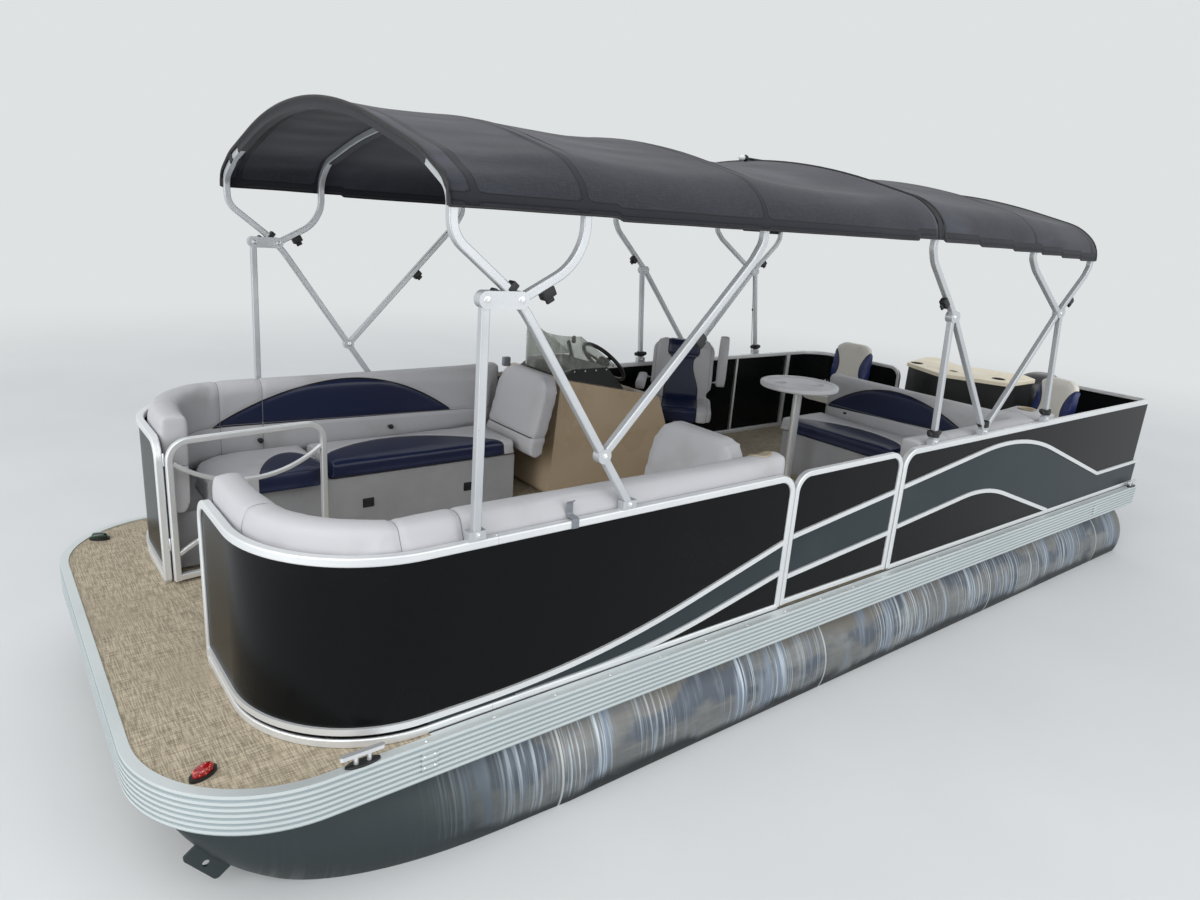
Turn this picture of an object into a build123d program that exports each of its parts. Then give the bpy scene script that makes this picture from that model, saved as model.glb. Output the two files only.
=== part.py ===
from build123d import *
import os
from math import cos, pi, radians, sin

os.makedirs("parts", exist_ok=True)

# A pontoon boat. Millimetres. X runs forward, Y to port, Z up.
# The origin is amidships on the centre line, at the waterline.

# Deck
deck_length = 6950
beam = 2590
deck_z = 560
deck_thick = 20
bow_corner = 510
stern_corner = 110
trim_height = 145
trim_web = 6
rib_depth = 3
rib_height = 11
rib_count = 6
bow_x = deck_length / 2
stern_x = -deck_length / 2

# Pontoons
tube_r = 305
tube_y = 960
tube_z = 120
tube_aft_x = -3400
nose_start_x = 1975
keel_depth = 38
channel_height = 75
channel_width = 45
channel_count = 12
wall = 6

# Fences
rail = 32
rail_edge = 6
fence_y = 1240
fence_top = deck_z + 683
fence_front_x = bow_x - 365
fence_stern_x = stern_x + 42
fence_corner = 500
post_bend = 85
opening_half = 380
panel = 3
panel_inset = 8
upright = 20
side_gate_fore = 775
side_gate_aft = -105
gate_gap = 8
cross_fence_x = -2525
cross_bend = 300
stern_gate_out = -872
stern_gate_in = -352
accent_width = 24
accent_proud = 10
fill = 1.5

rail_y = fence_y - rail / 2
rail_x = fence_front_x - rail / 2
stern_rail_x = fence_stern_x + rail / 2
top_rail_z = fence_top - rail / 2
low_rail_z = deck_z + rail / 2
panel_y = fence_y - panel_inset
panel_low = deck_z + rail
panel_high = fence_top - rail

# Seats
base_top = deck_z + 300
seat_top = deck_z + 400
seat_front_y = 590
seat_hinge_y = 1030
bow_seat_aft = 1115
bow_seat_split = 2265
bow_seat_fore = 2890
roll_y = 1198
roll_top = deck_z + 780
roll_depth = 140
bench_front = -1010
bench_hinge = -1490
bench_stbd = -350
bench_port = 600
return_fore = -260
aft_roll_top = deck_z + 715

# Bimini tops
hoop = 30
hoop_y = 1224
foot_z = fence_top + 22
sheet = 8


def square_tube(plane, points, bend, size=rail, edge=rail_edge):
    """Add a square tube with rounded edges along a bent path in one plane."""
    with BuildLine(plane, mode=Mode.PRIVATE) as path:
        if bend:
            FilletPolyline(*points, radius=bend)
        else:
            Polyline(*points)
    with BuildSketch(Plane(path.line @ 0, x_dir=plane.z_dir, z_dir=path.line % 0)) as section:
        RectangleRounded(size, size, edge)
    sweep(section.sketch, path=path.line)


def round_tube(plane, points, bend, radius):
    """Add a round bar along a bent path in one plane."""
    with BuildLine(plane, mode=Mode.PRIVATE) as path:
        if bend:
            FilletPolyline(*points, radius=bend)
        else:
            Polyline(*points)
    with BuildSketch(Plane(path.line @ 0, x_dir=plane.z_dir, z_dir=path.line % 0)) as section:
        Circle(radius)
    sweep(section.sketch, path=path.line)


def box(x, y, z, mode=Mode.ADD):
    """Add a box from its low and high ends along X, Y and Z."""
    with Locations(((x[0] + x[1]) / 2, (y[0] + y[1]) / 2, (z[0] + z[1]) / 2)):
        Box(x[1] - x[0], y[1] - y[0], z[1] - z[0], mode=mode)


def deck_outline(inset, mode=Mode.ADD):
    """Draw the deck's plan outline, drawn in by an inset."""
    with BuildSketch(mode=Mode.PRIVATE) as plan:
        Rectangle(deck_length - 2 * inset, beam - 2 * inset)
        fillet(plan.vertices().group_by(Axis.X)[-1], bow_corner - inset)
        fillet(plan.vertices().group_by(Axis.X)[0], stern_corner - inset)
    add(plan.sketch_local, mode=mode)


def deck_ring(inset, width, low, high):
    """Add a band that follows the deck's outline."""
    with BuildSketch(Plane.XY.offset(low)) as ring:
        deck_outline(inset)
        deck_outline(inset + width, Mode.SUBTRACT)
    extrude(ring.sketch, amount=high - low)


# Deck board
with BuildPart() as deck:
    with BuildSketch(Plane.XY.offset(deck_z - deck_thick)):
        deck_outline(rib_depth + trim_web)
    extrude(amount=deck_thick)
deck.part.label = "deck"
export_step(deck.part, "parts/deck.step")

# Fluted edge extrusion round the deck, with a lip over the board's edge
trim_low = deck_z - trim_height + 8
rib_pitch = (trim_height - 20) / rib_count
lip_thick = 6
lip_width = 34
foot_width = 45
lip_top = deck_z + lip_thick
with BuildPart() as deck_trim:
    deck_ring(rib_depth, trim_web, trim_low, lip_top)
    deck_ring(rib_depth, lip_width, deck_z, lip_top)
    deck_ring(rib_depth, foot_width, trim_low, trim_low + trim_web)
    for i in range(rib_count):
        rib_low = trim_low + trim_web + i * rib_pitch
        deck_ring(0, rib_depth + 1, rib_low, rib_low + rib_height)
deck_trim.part.label = "deck_trim"
export_step(deck_trim.part, "parts/deck_trim.step")

# Pontoons. Sections of the nose: x, top, bottom and half width about the tube's centre
nose_sections = [
    (nose_start_x, 305, -305, 305),
    (2475, 301, -296, 276),
    (2875, 293, -232, 200),
    (3125, 283, -92, 116),
    (3365, 272, 225, 14),
]
nose_eye_at = (3247, 164)
nose_eye_turn = 52.9
nose_eye_size = (165, 120)
nose_eye_corner = 15
nose_eye_hole = (3272, 145.5)
nose_eye_r = 12.5
nose_eye_thick = 10
keel_x = (-3300, 2620)
keel_half = 8
riser_x = (-3300, 2780)
riser_half = 75
riser_top = deck_z - deck_thick - channel_height
riser_sink = 40
riser_low = tube_z + tube_r - riser_sink
for side, port in (("port", 1), ("starboard", -1)):
    with BuildPart() as pontoon:
        with BuildSketch(Plane.YZ.offset(tube_aft_x)):
            with Locations((port * tube_y, tube_z)):
                Circle(tube_r)
        extrude(amount=nose_start_x - tube_aft_x)
        for x, top, bottom, half in nose_sections:
            with BuildSketch(Plane.YZ.offset(x)):
                with BuildLine():
                    high = (port * tube_y, tube_z + top)
                    low = (port * tube_y, tube_z + bottom)
                    middle = tube_z + (top + bottom) / 2
                    ThreePointArc(high, (port * tube_y + half, middle), low)
                    ThreePointArc(low, (port * tube_y - half, middle), high)
                make_face()
        loft()
        # Keel strip and the inverted channel that carries the deck frame
        box(keel_x, (port * tube_y - keel_half, port * tube_y + keel_half),
            (tube_z - tube_r - keel_depth, tube_z - tube_r + keel_depth / 2))
        with BuildSketch(Plane.YZ.offset(riser_x[0])):
            with Locations((port * tube_y, (riser_top + riser_low) / 2)):
                Rectangle(2 * riser_half, riser_top - riser_low)
            with Locations((port * tube_y, riser_top - wall - riser_sink)):
                Rectangle(2 * riser_half - 2 * wall, 2 * riser_sink, mode=Mode.SUBTRACT)
        extrude(amount=riser_x[1] - riser_x[0])
        # Towing eye on the nose's lower edge
        with BuildSketch(Plane.XZ.offset(-port * tube_y)) as eye:
            with Locations(Location(nose_eye_at, nose_eye_turn)):
                Rectangle(nose_eye_size[0], nose_eye_size[1])
            fillet(eye.vertices(), nose_eye_corner)
            with Locations(nose_eye_hole):
                Circle(nose_eye_r, mode=Mode.SUBTRACT)
        extrude(amount=nose_eye_thick / 2, both=True)
    pontoon.part.label = side + "_pontoon"
    export_step(pontoon.part, f"parts/{side}_pontoon.step")

# Cross channels under the deck
channel_start = -3190
channel_pitch = 560
channel_half = 1230
with BuildPart() as crossmembers:
    for i in range(channel_count):
        x = channel_start + i * channel_pitch
        box((x, x + channel_width), (-channel_half, channel_half), (riser_top, riser_top + channel_height))
        box((x + wall, x + channel_width), (-channel_half, channel_half),
            (riser_top + wall, riser_top + channel_height - wall), mode=Mode.SUBTRACT)
crossmembers.part.label = "crossmembers"
export_step(crossmembers.part, "parts/crossmembers.step")

# Motor pod between the pontoons, with a raised transom behind the deck
pod_half = 270
transom_x = -3950
transom_top = 475
pod_top = riser_top - 60
pod_side = [(-2300, pod_top), (transom_x + 60, pod_top), (transom_x + 40, transom_top),
            (transom_x, transom_top), (transom_x, -90), (-2900, 10), (-2300, 250)]
pod_edge = 25
with BuildPart() as motor_pod:
    with BuildSketch(Plane.XZ.offset(-pod_half)):
        with BuildLine():
            Polyline(pod_side, close=True)
        make_face()
    extrude(amount=2 * pod_half)
    fillet(motor_pod.edges().filter_by(Axis.Z).group_by(Axis.X)[0], pod_edge)
motor_pod.part.label = "motor_pod"
export_step(motor_pod.part, "parts/motor_pod.step")


def fence_end(plane, along, post_at):
    """Add a post whose top bends over into the top rail; along is where the bend hands over."""
    square_tube(plane, [(along, top_rail_z), (post_at, top_rail_z), (post_at, low_rail_z)], post_bend)


def upright_post(x, port):
    """Add an upright between the rails on one side, flush with their inner face."""
    inner = port * (fence_y - rail)
    outer = port * (fence_y - rail + upright)
    box((x, x + upright), (min(inner, outer), max(inner, outer)), (panel_low, panel_high))


def fence_joint(x, port):
    """Part the rails where two sections of fence meet, with an upright on either side."""
    upright_post(x - upright, port)
    upright_post(x + section_gap, port)
    inner = port * (fence_y - rail - section_gap)
    outer = port * (fence_y + section_gap)
    box((x, x + section_gap), (min(inner, outer), max(inner, outer)), (deck_z, fence_top),
        mode=Mode.SUBTRACT)


hand_over = 140
section_gap = 1
plan_top = Plane.XY.offset(top_rail_z)
plan_low = Plane.XY.offset(low_rail_z)
port_uprights = (1560, -1000, -1800, -2600)
port_joints = (2350, -3150)
starboard_uprights = (1560, -40, -840, -1450)
starboard_joints = (2350, 760, -2100)

# Port fence: bow sections round the corner, and aft sections round to the stern
with BuildPart() as port_fence:
    bow_post = opening_half + rail / 2
    gate_post = side_gate_fore + rail / 2
    corner = (rail_x, rail_y)
    square_tube(plan_top, [(rail_x, bow_post + hand_over), corner,
                           (gate_post + hand_over, rail_y)], fence_corner - rail / 2)
    square_tube(plan_low, [(rail_x, bow_post), corner, (gate_post, rail_y)],
                fence_corner - rail / 2)
    fence_end(Plane.YZ.offset(rail_x), bow_post + hand_over, bow_post)
    fence_end(Plane.XZ.offset(-rail_y), gate_post + hand_over, gate_post)
    aft_post = side_gate_aft - rail / 2
    stern_post_y = 582
    square_tube(plan_top, [(aft_post - hand_over, rail_y), (stern_rail_x, rail_y),
                           (stern_rail_x, stern_post_y)], 80)
    square_tube(plan_low, [(aft_post, rail_y), (stern_rail_x, rail_y),
                           (stern_rail_x, stern_post_y)], 80)
    fence_end(Plane.XZ.offset(-rail_y), aft_post - hand_over, aft_post)
    box((stern_rail_x - rail / 2, stern_rail_x + rail / 2),
        (stern_post_y - rail / 2, stern_post_y + rail / 2), (deck_z, fence_top))
    for x in port_uprights:
        upright_post(x, 1)
    for x in port_joints:
        fence_joint(x, 1)
port_fence.part.label = "port_fence"
export_step(port_fence.part, "parts/port_fence.step")

# Starboard fence: sections from the bow opening to the stern gate
stern_post = stern_gate_out - rail / 2 - gate_gap
with BuildPart() as starboard_fence:
    start = (rail_x, -bow_post - hand_over)
    square_tube(plan_top, [start, (rail_x, -rail_y), (0, -rail_y)], fence_corner - rail / 2)
    square_tube(plan_top, [(0, -rail_y), (cross_fence_x, -rail_y), (cross_fence_x, stern_post)],
                cross_bend - rail / 2 - 20)
    square_tube(plan_low, [(rail_x, -bow_post), (rail_x, -rail_y), (0, -rail_y)],
                fence_corner - rail / 2)
    square_tube(plan_low, [(0, -rail_y), (cross_fence_x, -rail_y), (cross_fence_x, stern_post)],
                cross_bend - rail / 2 - 20)
    fence_end(Plane.YZ.offset(rail_x), -bow_post - hand_over, -bow_post)
    box((cross_fence_x - rail / 2, cross_fence_x + rail / 2),
        (stern_post - rail / 2, stern_post + rail / 2), (deck_z, fence_top))
    for x in starboard_uprights:
        upright_post(x, -1)
    for x in starboard_joints:
        fence_joint(x, -1)
starboard_fence.part.label = "starboard_fence"
export_step(starboard_fence.part, "parts/starboard_fence.step")


def sheet_run(points, bend, low, high, thick):
    """Add an upright sheet that follows a bent line in plan."""
    with BuildSketch(Plane.XY.offset(low)) as run:
        with BuildLine():
            FilletPolyline(*points, radius=bend)
        trace(line_width=thick)
    extrude(run.sketch, amount=high - low)


skin_y = panel_y - panel / 2
skin_x = fence_front_x - panel_inset - panel / 2
skin_bend = fence_corner - panel_inset - panel / 2
skin_stern_x = fence_stern_x + panel_inset + panel / 2
corner_cut = post_bend - rail / 2
cross_skin_x = cross_fence_x - 6

# Black side panels, set back from the face of the rails
with BuildPart() as port_panels:
    sheet_run([(skin_x, opening_half + rail), (skin_x, skin_y), (side_gate_fore + rail, skin_y)],
              skin_bend, panel_low, panel_high, panel)
    fillet(port_panels.edges().filter_by(Axis.X).group_by(Axis.Z)[-1].group_by(Axis.Y)[0], corner_cut)
    fillet(port_panels.edges().filter_by(Axis.Y).group_by(Axis.Z)[-1].group_by(Axis.X)[0], corner_cut)
with BuildPart() as port_aft_panel:
    sheet_run([(side_gate_aft - rail, skin_y), (skin_stern_x, skin_y),
               (skin_stern_x, stern_post_y + rail / 2)], 70, panel_low, panel_high, panel)
    fillet(port_aft_panel.edges().filter_by(Axis.Y).group_by(Axis.Z)[-1].group_by(Axis.X)[-1],
           corner_cut)
port_skin = Compound(label="port_panels", children=[port_panels.part, port_aft_panel.part])
export_step(port_skin, "parts/port_panels.step")

with BuildPart() as starboard_panel:
    with BuildSketch(Plane.XY.offset(panel_low)):
        with BuildLine():
            bow_run = FilletPolyline((skin_x, -opening_half - rail), (skin_x, -skin_y), (0, -skin_y),
                                     radius=skin_bend)
            FilletPolyline(bow_run @ 1, (cross_skin_x, -skin_y), (cross_skin_x, stern_post - rail / 2),
                           radius=cross_bend - 30)
        trace(line_width=panel)
    extrude(amount=panel_high - panel_low)
    fillet(starboard_panel.edges().filter_by(Axis.X).group_by(Axis.Z)[-1].group_by(Axis.Y)[-1],
           corner_cut)
starboard_panel.part.label = "starboard_panel"
export_step(starboard_panel.part, "parts/starboard_panel.step")


def strip(points, bend, width, y_low, y_high):
    """Add a strip of even width that follows a bent line on an upright plane."""
    with BuildSketch(Plane.XZ.offset(-y_high)) as band:
        with BuildLine():
            FilletPolyline(*points, radius=bend)
        trace(line_width=width)
    extrude(band.sketch, amount=y_high - y_low)


# Bright rails on the panels: side elevation, x and z of each corner and the bend there
bow_upper = [(2600, 622), (1900, 622), (side_gate_fore + rail, 912)]
bow_lower = [(2250, 584), (1600, 588), (side_gate_fore + rail, 758)]
aft_upper = [(side_gate_aft - rail, 1040), (-1400, 1196), (-2690, 752)]
aft_lower = [(side_gate_aft - rail, 815), (-1050, 902), (-1975, 592)]
gate_upper = [(side_gate_fore - rail - 4, 925), (side_gate_aft + rail + 4, 1022)]
gate_lower = [(side_gate_fore - rail - 4, 722), (side_gate_aft + rail + 4, 790)]
bridge_upper = [bow_upper[-1], aft_upper[0]]
bridge_lower = [bow_lower[-1], aft_lower[0]]
starboard_stop = -2170


def side_strips(port):
    """Add one side's bright rails; the starboard run is unbroken and ends where the fence turns."""
    low = min(port * panel_y, port * (panel_y + accent_proud))
    high = low + accent_proud
    for points, bend in ((bow_upper, 4000), (bow_lower, 3500), (aft_upper, 2000), (aft_lower, 1200)):
        strip(points, bend, accent_width, low, high)
    if port > 0:
        box((fence_stern_x, aft_upper[-1][0]), (low, high),
            (aft_upper[-1][1] - accent_width / 2, aft_upper[-1][1] + accent_width / 2))
    else:
        for a, b in (bridge_upper, bridge_lower):
            strip([a, ((a[0] + b[0]) / 2, (a[1] + b[1]) / 2 + 1), b], 900, accent_width, low, high)
    band_x = fence_front_x - panel_inset + accent_proud / 2
    band_y = (low + high) / 2
    sheet_run([(band_x, port * (opening_half + rail)), (band_x, band_y), (bow_upper[0][0], band_y)],
              fence_corner - panel_inset + accent_proud / 2, bow_upper[0][1] - accent_width / 2,
              bow_upper[0][1] + accent_width / 2, accent_proud)


with BuildPart() as accent_rails:
    side_strips(1)
    side_strips(-1)
    box((stern_x, bow_x), (-beam, beam), (0, panel_low), mode=Mode.SUBTRACT)
    box((stern_x, starboard_stop), (-beam, 0), (0, fence_top), mode=Mode.SUBTRACT)
    box((side_gate_aft - rail, side_gate_fore + rail), (0, beam), (0, fence_top), mode=Mode.SUBTRACT)
accent_rails.part.label = "accent_rails"
export_step(accent_rails.part, "parts/accent_rails.step")

def fill_sheet(upper, lower, bends, y_high, tail_x):
    """Add the thin sheet between an upper and a lower rail, run out level to its tail."""
    with BuildSketch(Plane.XZ.offset(-y_high)) as area:
        with BuildLine():
            top = FilletPolyline(*upper, radius=bends[0])
            base = FilletPolyline(*lower, radius=bends[1])
            Line(top @ 0, base @ 0)
            Polyline(top @ 1, (tail_x, upper[-1][1]), (tail_x, lower[-1][1]), base @ 1)
        make_face()
    extrude(area.sketch, amount=fill)


def shifted(points, drop):
    """Move a side elevation line up or down."""
    return [(x, z + drop) for x, z in points]


# Grey sheets between the bright rails, clear of the rails' edges
edge_gap = accent_width / 2 + 2
bow_tail = side_gate_fore + rail
with BuildPart() as accent_panels:
    for port in (1, -1):
        outer = panel_y + fill if port > 0 else -panel_y
        bow_top = shifted([bow_upper[0], bow_upper[1], (bow_tail + 3, bow_upper[2][1])], -edge_gap)
        bow_low = [(bow_upper[0][0], panel_low), (1640, panel_low),
                   (bow_tail + 3, bow_lower[2][1] + edge_gap)]
        fill_sheet(bow_top, bow_low, (4000, 3000), outer, bow_tail)
        aft_low = shifted(aft_lower[:2], edge_gap) + [(aft_lower[2][0] - 20, panel_low)]
        fill_sheet(shifted(aft_upper, -edge_gap), aft_low, (2000, 1200), outer, fence_stern_x + 10)
    with BuildSketch(Plane.XZ.offset(panel_y)):
        with BuildLine():
            Polyline(shifted([bow_upper[-1]], -edge_gap)[0], shifted([aft_upper[0]], -edge_gap)[0],
                     shifted([aft_lower[0]], edge_gap)[0], shifted([bow_lower[-1]], edge_gap)[0],
                     close=True)
        make_face()
    extrude(amount=fill)
    box((stern_x, starboard_stop), (-beam, 0), (0, fence_top), mode=Mode.SUBTRACT)
    add(accent_rails.part, mode=Mode.SUBTRACT)
accent_panels.part.label = "accent_panels"
export_step(accent_panels.part, "parts/accent_panels.step")


# Gates. Each is drawn on an upright plane through its hinge, x along the gate and y up.
gate_tube = 28
gate_low = deck_z + 14
gate_high = fence_top - 2
bow_gate_angle = 187
side_gate_angle = 180
stern_gate_angle = 90
bow_hinge = (fence_front_x - rail, -opening_half + gate_gap / 2)
side_hinge = (side_gate_fore - gate_gap / 2, fence_y - rail)
stern_hinge = (cross_fence_x - rail / 2, stern_gate_out - gate_gap / 2)
bow_gate_width = 2 * opening_half - 2 * gate_gap
side_gate_width = side_gate_fore - side_gate_aft - 2 * gate_gap
stern_gate_width = stern_gate_in - stern_gate_out


def gate_plane(hinge, angle, depth):
    """Give the upright plane of a gate that leaves its hinge at an angle, at a depth from it."""
    along = (cos(radians(angle)), sin(radians(angle)), 0)
    normal = (sin(radians(angle)), -cos(radians(angle)), 0)
    origin = (hinge[0] + depth * normal[0], hinge[1] + depth * normal[1], 0)
    return Plane(origin=origin, x_dir=along, z_dir=normal)


def gate_frame(plane, width):
    """Add a gate's outer tube: two posts, a top with round corners and a bottom rail."""
    near = gate_gap / 2 + gate_tube / 2
    far = gate_gap / 2 + width - gate_tube / 2
    top = gate_high - gate_tube / 2
    foot = gate_low + gate_tube / 2
    square_tube(plane, [(near, gate_low), (near, top), (far, top), (far, gate_low)], 85, gate_tube, 5)
    square_tube(plane, [(near, foot), (far, foot)], 0, gate_tube, 5)


def gate_sheet(plane, width, thick):
    """Add a gate's panel, with its top corners rounded to sit inside the tube."""
    low = gate_low + gate_tube
    high = gate_high - gate_tube
    with BuildSketch(plane) as area:
        near = gate_gap / 2 + gate_tube
        far = gate_gap / 2 + width - gate_tube
        middle = (near + far) / 2
        with BuildLine():
            side = FilletPolyline((middle, high), (far, high), (far, low), radius=71)
            other = FilletPolyline((middle, high), (near, high), (near, low), radius=71)
            Line(side @ 1, other @ 1)
        make_face()
    extrude(area.sketch, amount=thick)


bow_plane = gate_plane(bow_hinge, bow_gate_angle, gate_tube / 2)
with BuildPart() as bow_gate:
    gate_frame(bow_plane, bow_gate_width)
    near = gate_gap / 2 + gate_tube
    far = bow_gate_width - gate_tube
    for left, low_mid, right in ((1130, 1000, 1110), (700, 790, 640)):
        with BuildLine(bow_plane, mode=Mode.PRIVATE) as bow_curve:
            ThreePointArc((near, left), ((near + far) / 2, low_mid), (far + 4, right))
        with BuildSketch(Plane(bow_curve.line @ 0, x_dir=bow_plane.z_dir, z_dir=bow_curve.line % 0)):
            RectangleRounded(20, 20, 4)
        sweep(path=bow_curve.line)
bow_gate.part.label = "bow_gate"
export_step(bow_gate.part, "parts/bow_gate.step")

side_plane = gate_plane(side_hinge, side_gate_angle, gate_tube / 2)
with BuildPart() as side_gate:
    gate_frame(side_plane, side_gate_width)
    for a, b in (gate_upper, gate_lower):
        strip([a, ((a[0] + b[0]) / 2, (a[1] + b[1]) / 2 + 1), b], 900, accent_width,
              side_hinge[1] + gate_tube - accent_proud, side_hinge[1] + gate_tube)
side_gate.part.label = "side_gate"
export_step(side_gate.part, "parts/side_gate.step")

panel_depth = gate_tube - accent_proud - panel
with BuildPart() as side_gate_panel:
    gate_sheet(gate_plane(side_hinge, side_gate_angle, panel_depth), side_gate_width, panel)
side_gate_panel.part.label = "side_gate_panel"
export_step(side_gate_panel.part, "parts/side_gate_panel.step")

gate_face_y = side_hinge[1] + panel_depth + panel
with BuildPart() as side_gate_accent:
    with BuildSketch(Plane.XZ.offset(-gate_face_y - fill)):
        with BuildLine():
            Polyline(shifted(gate_upper, -edge_gap) + shifted(gate_lower, edge_gap)[::-1], close=True)
        make_face()
    extrude(amount=fill)
side_gate_accent.part.label = "side_gate_accent"
export_step(side_gate_accent.part, "parts/side_gate_accent.step")

stern_plane = gate_plane(stern_hinge, stern_gate_angle, gate_tube / 2)
with BuildPart() as stern_gate:
    gate_frame(stern_plane, stern_gate_width)
stern_gate.part.label = "stern_gate"
export_step(stern_gate.part, "parts/stern_gate.step")
with BuildPart() as stern_gate_panel:
    gate_sheet(gate_plane(stern_hinge, stern_gate_angle, panel_depth), stern_gate_width, panel)
stern_gate_panel.part.label = "stern_gate_panel"
export_step(stern_gate_panel.part, "parts/stern_gate_panel.step")


# Bow lounges. The port one is drawn and the starboard one is its mirror image, but for the
# starboard back, which stops short of the helm console.
console_fore = 935
base_outer_y = 1196
base_wall = 14
toe = 30
seat_corner = 290
cushion_gap = 10


def plan_block(x_low, x_high, y_low, y_high, z_low, z_high, corner):
    """Add a block whose outer forward corner is round in plan."""
    with BuildSketch(Plane.XY.offset(z_low)) as plan:
        with Locations(((x_low + x_high) / 2, (y_low + y_high) / 2)):
            Rectangle(x_high - x_low, y_high - y_low)
        if corner:
            outer = plan.vertices().group_by(Axis.X)[-1].sort_by(Axis.Y)[-1]
            fillet(outer, corner)
    extrude(plan.sketch, amount=z_high - z_low)


with BuildPart() as port_bow_base:
    plan_block(bow_seat_aft, bow_seat_fore + 150, seat_front_y + toe, base_outer_y,
               deck_z, base_top, seat_corner + 120)
    box((bow_seat_aft + base_wall, bow_seat_split - base_wall),
        (seat_front_y + toe + base_wall, seat_hinge_y), (deck_z + base_wall, base_top),
        mode=Mode.SUBTRACT)

with BuildPart() as port_bow_cushion:
    plan_block(bow_seat_aft, bow_seat_split, seat_front_y, seat_hinge_y, base_top + 1, seat_top, 0)
    fillet(port_bow_cushion.edges().filter_by(Axis.X).group_by(Axis.Z)[-1], 20)

with BuildPart() as port_corner_cushion:
    plan_block(bow_seat_split + cushion_gap, bow_seat_fore, seat_front_y - 60, seat_hinge_y,
               base_top, seat_top, seat_corner)
    inner = port_corner_cushion.edges().filter_by(Axis.Z).group_by(Axis.Y)[0]
    fillet(inner.sort_by(Axis.X)[0], 110)

# The back is one padded roll that follows the fence round the corner
roll_low = base_top
roll_bend = fence_corner - (fence_y - roll_y)
roll_profile = [(0, roll_low), (0, roll_top), (roll_depth, roll_top), (roll_depth - 22, roll_low)]
roll_x = fence_front_x - (fence_y - roll_y)
with BuildPart() as port_bow_back:
    with BuildLine(Plane.XY, mode=Mode.PRIVATE) as roll_path:
        FilletPolyline((roll_x, opening_half + 45), (roll_x, roll_y), (side_gate_fore + 20, roll_y),
                       radius=roll_bend)
    with BuildSketch(Plane(roll_path.line @ 0, x_dir=(-1, 0, 0), z_dir=roll_path.line % 0)) as roll_face:
        with BuildLine():
            Polyline(roll_profile, close=True)
        make_face()
        fillet(roll_face.vertices().group_by(Axis.Z)[-1], 55)
    sweep(path=roll_path.line)

# Chaise back that stands across the aft end of the seat, with an arched top
chaise_y = (470, 1050)
chaise_foot_x = bow_seat_aft - cushion_gap
chaise_lean = 130
chaise_thick = 105
chaise_high = deck_z + 815
with BuildPart() as port_chaise_back:
    with BuildSketch(Plane.XZ.offset(-chaise_y[1])) as chaise_side:
        with BuildLine():
            Polyline((chaise_foot_x, base_top), (chaise_foot_x - chaise_lean, chaise_high),
                     (chaise_foot_x - chaise_lean - chaise_thick, chaise_high - 10),
                     (chaise_foot_x - chaise_thick, base_top), close=True)
        make_face()
        fillet(chaise_side.vertices().group_by(Axis.Z)[-1], 35)
    extrude(amount=chaise_y[1] - chaise_y[0])
    with BuildSketch(Plane.YZ.offset(0)) as arch:
        with Locations(((chaise_y[0] + chaise_y[1]) / 2, base_top + (chaise_high - base_top) / 2)):
            Rectangle(chaise_y[1] - chaise_y[0], chaise_high - base_top)
        fillet(arch.vertices().group_by(Axis.Y)[-1], 170)
    extrude(amount=1400, mode=Mode.INTERSECT)

bow_pieces = {
    "bow_seat_base": port_bow_base,
    "bow_seat_cushion": port_bow_cushion,
    "bow_backrest": port_bow_back,
}
for name, piece in bow_pieces.items():
    piece.part.label = "port_" + name
    export_step(piece.part, f"parts/port_{name}.step")
    with BuildPart() as other:
        mirror(piece.part, about=Plane.XZ)
        if name == "bow_backrest":
            box((0, console_fore + 10), (-beam, 0), (0, 2 * deck_z + roll_top), mode=Mode.SUBTRACT)
    other.part.label = "starboard_" + name
    export_step(other.part, f"parts/starboard_{name}.step")
for name, piece in (("chaise_backs", port_chaise_back), ("corner_cushions", port_corner_cushion)):
    with BuildPart() as pair:
        add(piece.part)
        mirror(piece.part, about=Plane.XZ)
    pair.part.label = name
    export_step(pair.part, f"parts/{name}.step")

# Aft lounge: a bench across the boat and a return forward along the port side
bench_base_front = bench_front - toe
aft_roll_face = bench_hinge - 15
aft_base_stbd = bench_stbd + toe
return_post = 80
with BuildPart() as aft_seat_base:
    box((aft_roll_face - roll_depth, bench_base_front), (aft_base_stbd, base_outer_y), (deck_z, base_top))
    box((bench_base_front - base_wall, return_fore - toe), (bench_port + toe, base_outer_y),
        (deck_z, base_top))
    box((bench_hinge, bench_base_front - base_wall),
        (aft_base_stbd + base_wall, bench_port - base_wall), (deck_z + base_wall, base_top),
        mode=Mode.SUBTRACT)
    front_post = aft_seat_base.edges().filter_by(Axis.Z).group_by(Axis.X)[-1].sort_by(Axis.Y)[0]
    fillet(front_post, return_post)
aft_seat_base.part.label = "aft_seat_base"
export_step(aft_seat_base.part, "parts/aft_seat_base.step")

with BuildPart() as aft_bench_cushion:
    box((bench_hinge, bench_front), (bench_stbd, bench_port), (base_top + 1, seat_top))
    fillet(aft_bench_cushion.edges().filter_by(Axis.Y).group_by(Axis.Z)[-1].sort_by(Axis.X)[-1], 30)
aft_bench_cushion.part.label = "aft_bench_cushion"
export_step(aft_bench_cushion.part, "parts/aft_bench_cushion.step")

with BuildPart() as aft_return_cushion:
    box((bench_hinge, return_fore), (bench_port + cushion_gap, seat_hinge_y), (base_top, seat_top))
    fillet(aft_return_cushion.edges().filter_by(Axis.Z).group_by(Axis.X)[-1].sort_by(Axis.Y)[0], 110)
aft_return_cushion.part.label = "aft_return_cushion"
export_step(aft_return_cushion.part, "parts/aft_return_cushion.step")

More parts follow.
